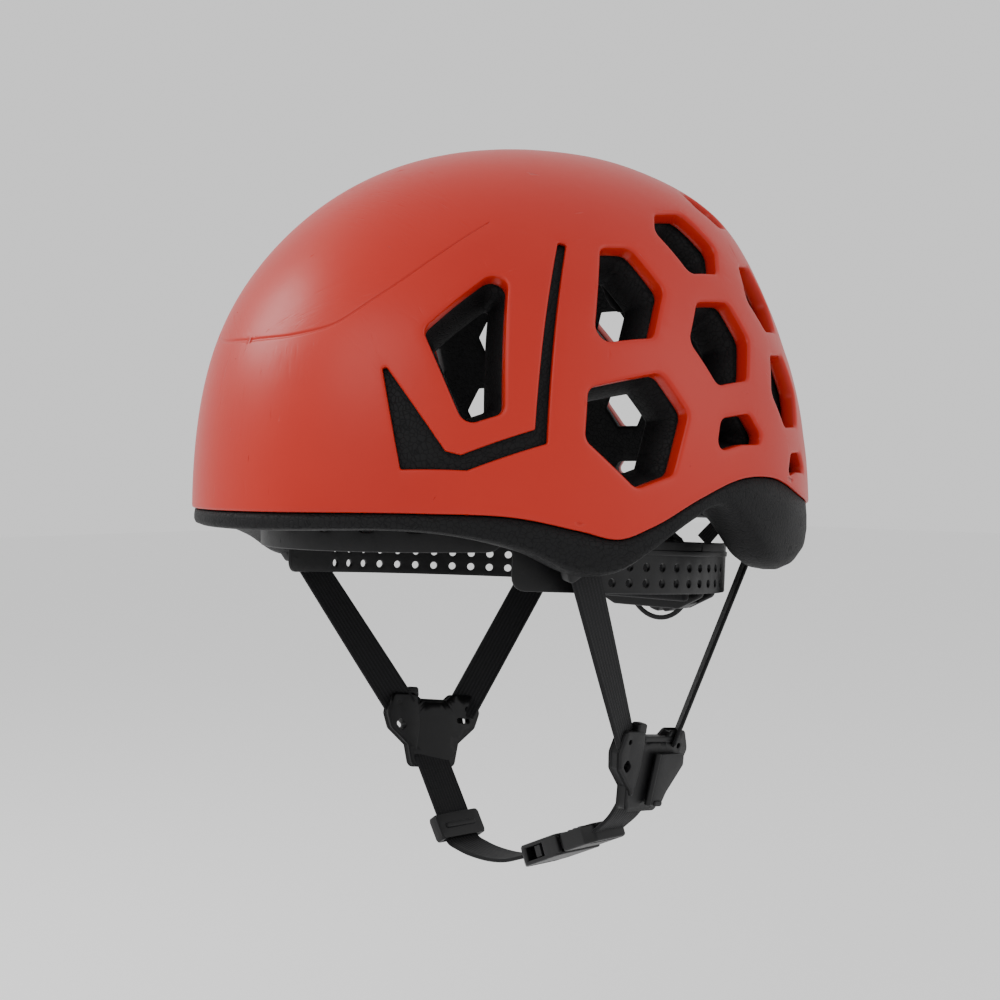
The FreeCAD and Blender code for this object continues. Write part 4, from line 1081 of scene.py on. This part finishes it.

# %% [markdown]
# ## Side bands
# The sides carry two rows of holes, which let the nylon bend and breathe, and a rib that stiffens them.
# Each turns on a pin at the temple and ends in a rack behind. On the helmet it bends as the wheel winds;
# here it is one fixed mesh with no body of its own.

# %% Side bands
BAND_WALL = 1.6
HOLE_RADIUS = 1.6
PIN_EYE_RADIUS = 3.25
SIDE_TIP = -3.5
BAND_TRIANGLE = 5

pin_eye = Disc(TEMPLE_TURN * BAND_STRETCH, TEMPLE_Z, PIN_EYE_RADIUS)
side_outline = block(
    (TEMPLE_TURN - 9) * BAND_STRETCH, REAR_TURN * BAND_STRETCH, BAND_LOW, BAND_HIGH, 5
)
vents_in_band = [
    Disc(turn * BAND_STRETCH, BAND_LOW + level * (BAND_HIGH - BAND_LOW), HOLE_RADIUS, 12)
    for turn in range(-12, 40, 5) for level in (0.2, 0.5)
]
ridge = block(-16 * BAND_STRETCH, 52 * BAND_STRETCH, BAND_LOW + 14.5, BAND_LOW + 16.5, 0.9)
for side, mirror in (("left", False), ("right", True)):
    wrap, flip = around_head(SIDE_TIP, mirror), -1 if mirror else 1
    strip = plate(
        side_outline, BAND_WALL / 2, BAND_WALL, wrap, [pin_eye] + vents_in_band, 0.5,
        longest=BAND_TRIANGLE,
    )
    rib = plate(ridge, 1.3, 0.9, wrap, edge=0.3, longest=BAND_TRIANGLE)
    dress_between(
        finished(f"band_{side}", strip, rib), f"side_band_{side}", "band",
        (flip * 0.0795, 0.0, -0.011), (flip * 0.041, 0.085, -0.02),
    )

# %% [markdown]
# ## Front band
# The front of the band lies across the brow between the temples. It sits higher than the sides,
# with wide slots that save weight. It is fixed to the helmet, so it rides on that body alone.

# %% Front band
FRONT_LOW, FRONT_HIGH = (round(corner.z / MM, 1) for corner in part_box("headband_front"))
FRONT_END = TEMPLE_TURN - 11
front_outline = block(
    (-180 - FRONT_END) * BAND_STRETCH, FRONT_END * BAND_STRETCH, FRONT_LOW, FRONT_HIGH, 6
)
front_holes = [
    block(turn * BAND_STRETCH - 4, turn * BAND_STRETCH + 4, FRONT_LOW + 7, FRONT_HIGH - 7, 2.5)
    for turn in range(-138, -39, 12)
]
front_strip = plate(
    front_outline, BAND_WALL / 2, BAND_WALL, around_head(0), front_holes, 0.5,
    longest=BAND_TRIANGLE,
)
dress(finished("band_front", front_strip), "headband_front", "band")

# %% [markdown]
# ## Webbing
# Straps are flat ribbons with slightly thicker, rolled selvedges. They turn as they run, since each
# end lies flat in a different plane. A section is extruded from station to station along a smooth
# path, and a UV map in metres lets the weave follow it.

# %% Ribbons
WEB_WALL = 1.5
WEB_STEP = 1.6
SELVEDGE = 0.7


def ribbon(points, acrosses, width):
    """Webbing along a smooth path in millimetres, its width following the given directions."""
    points, acrosses = np.array(points, float), np.array([unit(a) for a in acrosses])
    run = np.concatenate([[0], np.cumsum(np.linalg.norm(np.diff(points, axis=0), axis=1))])
    stations = np.linspace(0, run[-1], max(4, round(run[-1] / WEB_STEP)))
    slope = np.gradient(points, run, axis=0)
    i = np.clip(np.searchsorted(run, stations, "right") - 1, 0, len(run) - 2)
    length = (run[i + 1] - run[i])[:, None]
    t = ((stations - run[i]) / (run[i + 1] - run[i]))[:, None]
    path = (
        (2 * t**3 - 3 * t**2 + 1) * points[i] + (t**3 - 2 * t**2 + t) * length * slope[i]
        + (3 * t**2 - 2 * t**3) * points[i + 1] + (t**3 - t**2) * length * slope[i + 1]
    )
    across = acrosses[i] * (1 - t) + acrosses[i + 1] * t
    along = np.gradient(path, axis=0)
    along /= np.linalg.norm(along, axis=1)[:, None]
    across -= along * (across * along).sum(1)[:, None]
    across /= np.linalg.norm(across, axis=1)[:, None]
    face = np.cross(along, across)
    half, rim = width / 2, WEB_WALL / 2
    flat = rim * 0.86
    section = [(-half + 2 * SELVEDGE, flat), (-half + SELVEDGE, rim), (-half, 0)]
    section += [(-half + SELVEDGE, -rim), (-half + 2 * SELVEDGE, -flat)]
    section += [(-half / 3, -flat), (half / 3, -flat)]
    section += [(-u, -v) for u, v in section]
    section = np.array(section)
    rings = [
        (p + section[:, :1] * a + section[:, 1:] * f) * MM for p, a, f in zip(path, across, face)
    ]
    bm = bmesh.new()
    verts = [bm.verts.new(p) for p in rings[0]]
    for a, b in zip(verts, verts[1:] + verts[:1]):
        bm.edges.new((a, b))
    uv = bm.loops.layers.uv.new("UVMap")
    wall_down(bm, verts, rings[1:])
    bmesh.ops.holes_fill(bm, edges=[e for e in bm.edges if e.is_boundary], sides=0)
    bmesh.ops.recalc_face_normals(bm, faces=bm.faces[:])
    bm.verts.ensure_lookup_table()
    for f in bm.faces:
        for loop in f.loops:
            row, k = divmod(loop.vert.index, len(section))
            loop[uv].uv = (stations[row] * MM, section[k][0] * MM)
    return bm


def mirrored(bm):
    """The same mesh on the wearer's right."""
    bmesh.ops.scale(bm, verts=bm.verts, vec=(-1, 1, 1))
    bmesh.ops.recalc_face_normals(bm, faces=bm.faces[:])
    return bm


print("webbing is", WEB_WALL, "mm thick")

# %% [markdown]
# ## Side straps
# Four straps leave the rim, two a side, and meet below the ears in the dividers. Each starts flat
# against the foam and ends flat in its divider's ear, so it twists gently on the way. Both ends
# run on a little, into the anchor and into the divider, where the real one is sewn or looped.

# %% The four side straps
SIDE_WIDTH = 14
FRONT_ANCHOR, REAR_ANCHOR = np.array((85.05, -39.9, -13)), np.array((57.75, 87.8, -4))
EAR_FRONT, EAR_REAR = np.array((68, -1, -80)), np.array((63, 31, -84))
FRONT_RIM, REAR_RIM = (0.12, 0.87, 0.48), (0.79, -0.46, 0.40)
front_run, rear_run = unit(EAR_FRONT - FRONT_ANCHOR), unit(EAR_REAR - REAR_ANCHOR)
for side, mirror in (("left", False), ("right", True)):
    for which, start, end, run, rim, lie in (
        ("front", FRONT_ANCHOR, EAR_FRONT, front_run, FRONT_RIM, (-0.3, 0.8, 0.3)),
        ("rear", REAR_ANCHOR, EAR_REAR, rear_run, REAR_RIM, (0.75, -0.5, 0.4)),
    ):
        path = [start - run * 2, (start + end) / 2, end + run * 3]
        strap = ribbon(path, [rim, np.add(rim, lie), lie], SIDE_WIDTH)
        strap = mirrored(strap) if mirror else strap
        dress(finished(f"webbing_{which}_{side}", strap), f"strap_{which}_{side}", "webbing")

# %% [markdown]
# ## Strap anchors
# Foam alone would tear, so each strap is held by a block that is moulded into the rim. Only its
# lower end can be seen. Left and right are one piece here, as they are in the model.

# %% The anchors that hold them in the foam
for which, anchor, run, rim in (
    ("front", FRONT_ANCHOR, front_run, FRONT_RIM), ("rear", REAR_ANCHOR, rear_run, REAR_RIM),
):
    pair = [
        plate(block(-9, 9, 0, 9, 2), 2.5, 5, in_frame(anchor, rim, -run, mirror), edge=1.0)
        for mirror in (False, True)
    ]
    dress(finished(f"anchor_blocks_{which}", *pair), f"{which}_anchors", "moulding")

# %% [markdown]
# ## Strap dividers
# Below each ear a moulded divider joins the two side straps to the chin strap. Each has two ears
# with slots for the webbing, and a bar between them. The front ear is a thicker cheek with a knob.
# The body is built as overlapping plates, because that is how its levels step on the real one. A
# flap locks the length: it turns on a barrel along its inner edge, and has a lip for the thumb.

# %% Dividers
FOOT = np.array((62, 11, -105))
ear_line, divider_up = unit(EAR_REAR - EAR_FRONT), unit((EAR_FRONT + EAR_REAR) / 2 - FOOT)
DIVIDER = [
    (-22.5, -4), (-20.5, 3.4), (-10.5, 4), (-6.5, 1.2), (6.5, 1.2), (10, 4.2), (19, 4.2), (23, -2.5),
    (20.5, -9), (12, -16), (10, -26), (-10, -26), (-12, -17), (-20.5, -10),
]
FRONT_EAR = [
    (-20.6, -10), (-11.2, -18), (-8.2, -22), (-6.4, -8), (-8.2, 4.6), (-20.4, 4.6), (-22.6, -4),
]
KNOB = [(-7.2, 3), (-7.6, 7.6), (-13, 7.6), (-13, 3)]
FLAP = [(1.5, -24), (9, -24), (11, -19), (19, -8), (18, -3.6), (1.5, -3.6)]
HINGE_X, HINGE_LOW, HINGE_LEVEL = 1.5, -24, 4.0
HINGE_RADIUS, HINGE_LENGTH = 1.3, 20.4
front_slot = Outline([(-19, -8.6), (-15.8, -11.6), (-13.4, -9), (-16.6, -6)], 1.2)
for side, mirror in (("left", False), ("right", True)):
    place = in_frame((EAR_FRONT + EAR_REAR) / 2, ear_line, divider_up, mirror)
    body = plate(
        Outline(DIVIDER, 2.2), 2.0, 4.0, place,
        [front_slot, Disc(17.4, -1.2, 1.1), block(12.2, 18.6, -7.4, -5.2, 0.9)], 0.9,
    )
    cheek = plate(
        Outline(FRONT_EAR, 1.8), 3.1, 5.2, place, [front_slot, Disc(-17.6, 0.6, 1.0)], 1.0
    )
    knob = plate(Outline(KNOB, 1.2), 2.6, 4.4, place, edge=0.9)
    bar = plate(block(-8, 12, 0.2, 2.6, 1.0), 2.8, 4.8, place, edge=0.9)
    dress(finished(f"divider_body_{side}", body, cheek, knob, bar), f"divider_{side}", "moulding")

    flap = plate(Outline(FLAP, 1.6), 5.3, 2.6, place, edge=0.8)
    thumb = plate(block(3.4, 8.6, -24.2, -22.0, 0.9), 6.0, 1.6, place, edge=0.6)
    hinge_at = place(np.array([[HINGE_X, HINGE_LOW, HINGE_LEVEL]]))[0] / MM
    hinge_up = place(np.array([[HINGE_X, 0, HINGE_LEVEL]]))[0] / MM - hinge_at
    across = place(np.array([[30, HINGE_LOW, HINGE_LEVEL]]))[0] / MM - hinge_at
    hinge_place = in_frame(hinge_at, across, np.cross(unit(hinge_up), across))
    pivot = plate(Disc(0, 0, HINGE_RADIUS, 16), HINGE_LENGTH, HINGE_LENGTH, hinge_place, edge=0.4)
    dress(finished(f"divider_flap_{side}", flap, thumb, pivot), f"divider_lock_{side}", "moulding")

# %% [markdown]
# ## Chin strap
# One strap runs down from each divider. The right one passes a slider, hangs in a loose bend under
# the chin and ends in the socket of a side-release buckle; the left one carries its plug. A few
# points are enough for each, since the ribbon runs through them smoothly.

# %% Chin strap
CHIN_WIDTH = 18
CHIN_Y = 11
BUCKLE_MIDDLE = np.array((27, CHIN_Y, -126.5))
lean = math.radians(22.5)
buckle_along = np.array((math.cos(lean), 0, math.sin(lean)))
SLIDER_MIDDLE = np.array((-43.5, CHIN_Y, -131))
socket_tip, plug_tip = BUCKLE_MIDDLE - buckle_along * 20, BUCKLE_MIDDLE + buckle_along * 21
foot_left, foot_right = np.array((62, CHIN_Y, -102)), np.array((-62, CHIN_Y, -102))
slider_along = unit(SLIDER_MIDDLE - foot_right)
AHEAD = (0, 1, 0)

left_route = [foot_left, (foot_left + plug_tip) / 2 + (1, 0, -1), plug_tip]
chin_left = ribbon(left_route, [AHEAD] * len(left_route), CHIN_WIDTH)
dress(finished("chin_webbing_left", chin_left), "chin_strap_left", "webbing")

right_route = [
    foot_right, SLIDER_MIDDLE, SLIDER_MIDDLE + slider_along * 6, (-33, CHIN_Y, -138.2),
    (-20, CHIN_Y, -139.5), (-6, CHIN_Y, -138.5), socket_tip,
]
chin_right = ribbon(right_route, [AHEAD] * len(right_route), CHIN_WIDTH)
dress(finished("chin_webbing_right", chin_right), "chin_strap_right", "webbing")

# %% [markdown]
# ## Slider
# The slider is a flat sleeve around the webbing: a face on each side, an upright at each end, and
# a raised bar across the outer face that the strap is pulled over.

# %% Slider: two faces, two uprights and a bar around the webbing
SLIDER_HALF_LENGTH, SLIDER_HALF_WIDTH, SLIDER_INSIDE = 5.5, 12, 9.5
slider_place = in_frame(SLIDER_MIDDLE, slider_along, AHEAD)
slider_parts = []
for top in (2.6, -1.2):
    face = block(
        -SLIDER_HALF_LENGTH, SLIDER_HALF_LENGTH, -SLIDER_HALF_WIDTH, SLIDER_HALF_WIDTH, 1.8
    )
    slider_parts.append(plate(face, top, 1.4, slider_place, edge=0.5))
for low, high in ((-SLIDER_HALF_WIDTH, -SLIDER_INSIDE), (SLIDER_INSIDE, SLIDER_HALF_WIDTH)):
    upright = block(-SLIDER_HALF_LENGTH, SLIDER_HALF_LENGTH, low, high, 0.9)
    slider_parts.append(plate(upright, 2.2, 4.4, slider_place, edge=0.5))
slider_parts.append(plate(block(-1.2, 1.2, -8, 8, 0.8), 3.2, 1.2, slider_place, edge=0.5))
dress(finished("slider_block", *slider_parts), "strap_slider", "moulding")

# %% [markdown]
# ## Buckle
# A side-release buckle is a flat case that two springy prongs click into. The case is two skins
# with walls at the sides and a solid nose that holds the strap. The plug is a block with a strap
# slot, a tongue that guides it in, and three ribs for the fingers. The prongs are the model's own
# pieces, because they move by themselves.

# %% Buckle socket
buckle_place = in_frame(BUCKLE_MIDDLE, buckle_along, AHEAD)
CASE = [(-22, -8), (-17, -12), (4, -12), (4, 12), (-17, 12), (-22, 8)]
NOSE = [(-22, -8), (-17, -12), (-15, -12), (-15, 12), (-17, 12), (-22, 8)]
strap_slot = block(-20.5, -18, -8, 8, 0.8)
socket_parts = [
    plate(Outline(CASE, 2.5), top, 1.7, buckle_place, [strap_slot], edge=0.8)
    for top in (4.2, -2.5)
]
socket_parts.append(plate(Outline(NOSE, 1.4), 3.4, 6.8, buckle_place, [strap_slot], edge=0.5))
for low, high in ((9.8, 12), (-12, -9.8)):
    socket_parts.append(plate(block(-5, 4, low, high, 0.7), 3.4, 6.8, buckle_place, edge=0.5))
thumb_rest = block(-12, -1, -5, 5, 2.5)
socket_parts.append(plate(thumb_rest, 4.5, 0.8, buckle_place, edge=0.35))
dress(finished("socket_case", *socket_parts), "buckle_socket", "moulding")

# %% Buckle plug
PLUG = [(4.4, -11), (18.4, -11), (22.4, -8), (22.4, 8), (18.4, 11), (4.4, 11)]
plug_parts = [
    plate(Outline(PLUG, 2.2), 3.6, 7.2, buckle_place, [block(16.5, 19.5, -7.6, 7.6, 0.8)], edge=1.1),
    plate(block(-12, 5.4, -1.7, 1.7, 0.8), 2.2, 4.4, buckle_place, edge=0.5),
]
plug_parts += [
    plate(block(x, x + 1.6, -8, 8, 0.7), 4.1, 1.2, buckle_place, edge=0.45) for x in (7, 10, 13)
]
dress(finished("plug_body", *plug_parts), "buckle_plug", "moulding")

# %% [markdown]
# ## Adjuster housing
# A thumb wheel behind the neck drives two toothed strips in a flat housing. The housing is drawn
# from behind: its X runs to the wearer's right and its Y up. It is a tray with a rail above and
# one below, and the gears inside it are the model's own pieces.

# %% Housing
cradle_place = in_frame((0, 81.5, -24), (-1, 0, 0), (0, 0, 1))
HOUSING = [(-33, -8), (-19, -14), (19, -14), (33, -8), (33, 14), (-33, 14)]
LOW_RAIL = [(-19, -14), (19, -14), (27.5, -10.2), (-27.5, -10.2)]
housing_parts = [
    plate(Outline(HOUSING, 3.5), 2.0, 2.0, cradle_place, edge=0.7),
    plate(block(-33, 33, 10.2, 14, 1.5), 7.15, 6.0, cradle_place, edge=0.5),
    plate(Outline(LOW_RAIL, 1.2), 7.15, 6.0, cradle_place, edge=0.5),
]
dress(finished("housing_tray", *housing_parts), "cradle_housing", "moulding")

# %% [markdown]
# ## Adjuster cover
# The cover closes the tray, with holes for the wheel's shaft and two screws. Four short vanes
# stiffen it, and a thin collar guards the wheel's rim from hair.

# %% Cover
screws = [Disc(x, 11.9, 1.25, 16) for x in (-27, 27)]
vanes = [block(x - 1, x + 1, -7, 8.5, 0.9) for x in (-29, -24, 24, 29)]
cover_holes = [Disc(0, 0, 3.15)] + screws
cover_parts = [plate(Outline(HOUSING, 3.5), 9.2, 2.0, cradle_place, cover_holes, edge=0.8)]
cover_parts += [plate(v, 9.9, 1.2, cradle_place, edge=0.45) for v in vanes]
collar, collar_hole = Disc(0, 0, 20.5, 48), Disc(0, 0, 18.4, 48)
cover_parts.append(plate(collar, 9.5, 1.0, cradle_place, [collar_hole], edge=0.3))
dress(finished("housing_cover", *cover_parts), "cradle_cover", "moulding")

# %% [markdown]
# ## Thumb wheel
# The wheel's rim has twelve lobes that the fingers can feel through gloves, with rounded edges. A
# raised boss surrounds its shaft.

# %% Wheel
LOBES, LOBE_DIP, WHEEL_TRIANGLE = 12, 1.9, 4
shaft_hole = Disc(0, 0, 3.05, 24)
grip, boss = Disc(0, 0, 17, 144, LOBES, LOBE_DIP), Disc(0, 0, 12.5, 48)
wheel_parts = [
    plate(grip, 17.6, 8.0, cradle_place, [shaft_hole], edge=1.4, longest=WHEEL_TRIANGLE),
    plate(boss, 18.6, 1.6, cradle_place, [shaft_hole], edge=0.7, longest=WHEEL_TRIANGLE),
]
dress(finished("thumb_wheel", *wheel_parts), "adjuster_wheel", "moulding")

# %% [markdown]
# ## Hangers
# Two short straps carry the cradle from clips inside the foam. They fold as it tilts, but here each is
# one fixed mesh with no body of its own. A slight bow keeps them from looking like rods.

# %% Hangers
HANGER_WIDTH = 9
CLIP, CRADLE_END = np.array((44.1, 96.4, 16)), np.array((30, 85.5, -8.4))
hanger_bow = (CLIP + CRADLE_END) / 2 + (1.5, 0.6, 0)
for side, mirror in (("left", False), ("right", True)):
    widths = [(1, -0.35, 0), (1, -0.2, 0), (1, 0, 0)]
    strip = ribbon([CLIP, hanger_bow, CRADLE_END], widths, HANGER_WIDTH)
    strip, flip = (mirrored(strip), -1) if mirror else (strip, 1)
    dress_between(
        finished(f"hanger_strip_{side}", strip), f"hanger_{side}", "webbing",
        (flip * CLIP[0] * MM, CLIP[1] * MM, CLIP[2] * MM),
        (flip * CRADLE_END[0] * MM, CRADLE_END[1] * MM, CRADLE_END[2] * MM),
    )

# %% [markdown]
# ## Comfort pads
# Each pad is a thin knitted bag with soft foam inside. Bevelled blocks would look like bricks. So a
# copy of each block is shrunk a little, meshed evenly, and blown up by a short cloth simulation,
# which crowns its faces between its edges. No point may move further than the pad's own cap.

# %% Pads by cloth simulation
SHRINK = 0.0008
VOXEL = 0.0028
PRESSURE, TENSION, BENDING = 4, 12, 0.6
CLOTH_FRAMES = 20


def apply_modifiers(piece):
    """Turn the piece's live modifiers into plain mesh."""
    bpy.context.view_layer.update()
    graph = bpy.context.evaluated_depsgraph_get()
    mesh = bpy.data.meshes.new_from_object(piece.evaluated_get(graph))
    piece.modifiers.clear()
    piece.data = mesh


def puff(pad, cap):
    """Blow a closed mesh up like a cushion, by at most a cap."""
    flat = np.array([v.co for v in pad.data.vertices])
    cloth = pad.modifiers.new("puff", "CLOTH")
    cloth.settings.use_pressure = True
    cloth.settings.uniform_pressure_force = PRESSURE
    cloth.settings.effector_weights.gravity = 0
    cloth.settings.tension_stiffness = TENSION
    cloth.settings.bending_stiffness = BENDING
    cloth.point_cache.frame_start, cloth.point_cache.frame_end = 1, CLOTH_FRAMES
    for step in range(1, CLOTH_FRAMES + 1):
        bpy.context.scene.frame_set(step)
    apply_modifiers(pad)
    bpy.context.scene.frame_set(1)
    move = np.array([v.co for v in pad.data.vertices]) - flat
    far = np.linalg.norm(move, axis=1)[:, None]
    puffed = flat + move * np.minimum(1, cap / np.maximum(far, 1e-9))
    for v, p in zip(pad.data.vertices, puffed):
        v.co = p


def cushion(name, node_name, cap):
    """A padded copy of a block, which may swell by at most a cap."""
    mesh = nodes[node_name].data.copy()
    bm = bmesh.new()
    bm.from_mesh(mesh)
    bmesh.ops.remove_doubles(bm, verts=bm.verts, dist=0.00002)
    for v in bm.verts:
        v.normal_update()
    shift = {v: v.co - v.normal * SHRINK for v in bm.verts}
    for v, p in shift.items():
        v.co = p
    bm.to_mesh(mesh)
    bm.free()
    pad = bpy.data.objects.new(name, mesh)
    bpy.context.collection.objects.link(pad)
    bpy.context.view_layer.objects.active = pad
    remesh = pad.modifiers.new("even", "REMESH")
    remesh.mode = "VOXEL"
    remesh.voxel_size = VOXEL
    apply_modifiers(pad)
    puff(pad, cap)
    smooth = pad.modifiers.new("fine", "SUBSURF")
    smooth.levels = smooth.render_levels = 1
    apply_modifiers(pad)
    pad.data.materials.clear()
    pad.data.shade_smooth()
    dress(pad, node_name, "pad")
    print(f"{name}: {len(pad.data.polygons)} faces")


for name, node_name, cap in (
    ("pad_brow", "brow_pad", 0.0012), ("pad_crown", "crown_pad_centre", 0.0015),
    ("pad_crown_left", "crown_pad_left", 0.0012), ("pad_crown_right", "crown_pad_right", 0.0012),
    ("pad_nape", "nape_pad", 0.0015),
):
    cushion(name, node_name, cap)

# %% [markdown]
# ## Floor
# The helmet hangs over a plain, pale floor, well below the chin strap, so that only a faint shade
# falls on it and nothing draws the eye away.

# %% Floor
FLOOR_DROP = 0.16
bm = bmesh.new()
bmesh.ops.create_grid(bm, x_segments=2, y_segments=2, size=6)
bmesh.ops.translate(bm, verts=bm.verts, vec=(0, 0, cad_box[0][2] - FLOOR_DROP))
floor = finished("floor", bm)
floor_finish = Finish("pale_floor", (0.95, 0.95, 0.95), 0.8, Specular_IOR_Level=0.2)
floor.data.materials.append(floor_finish.material)
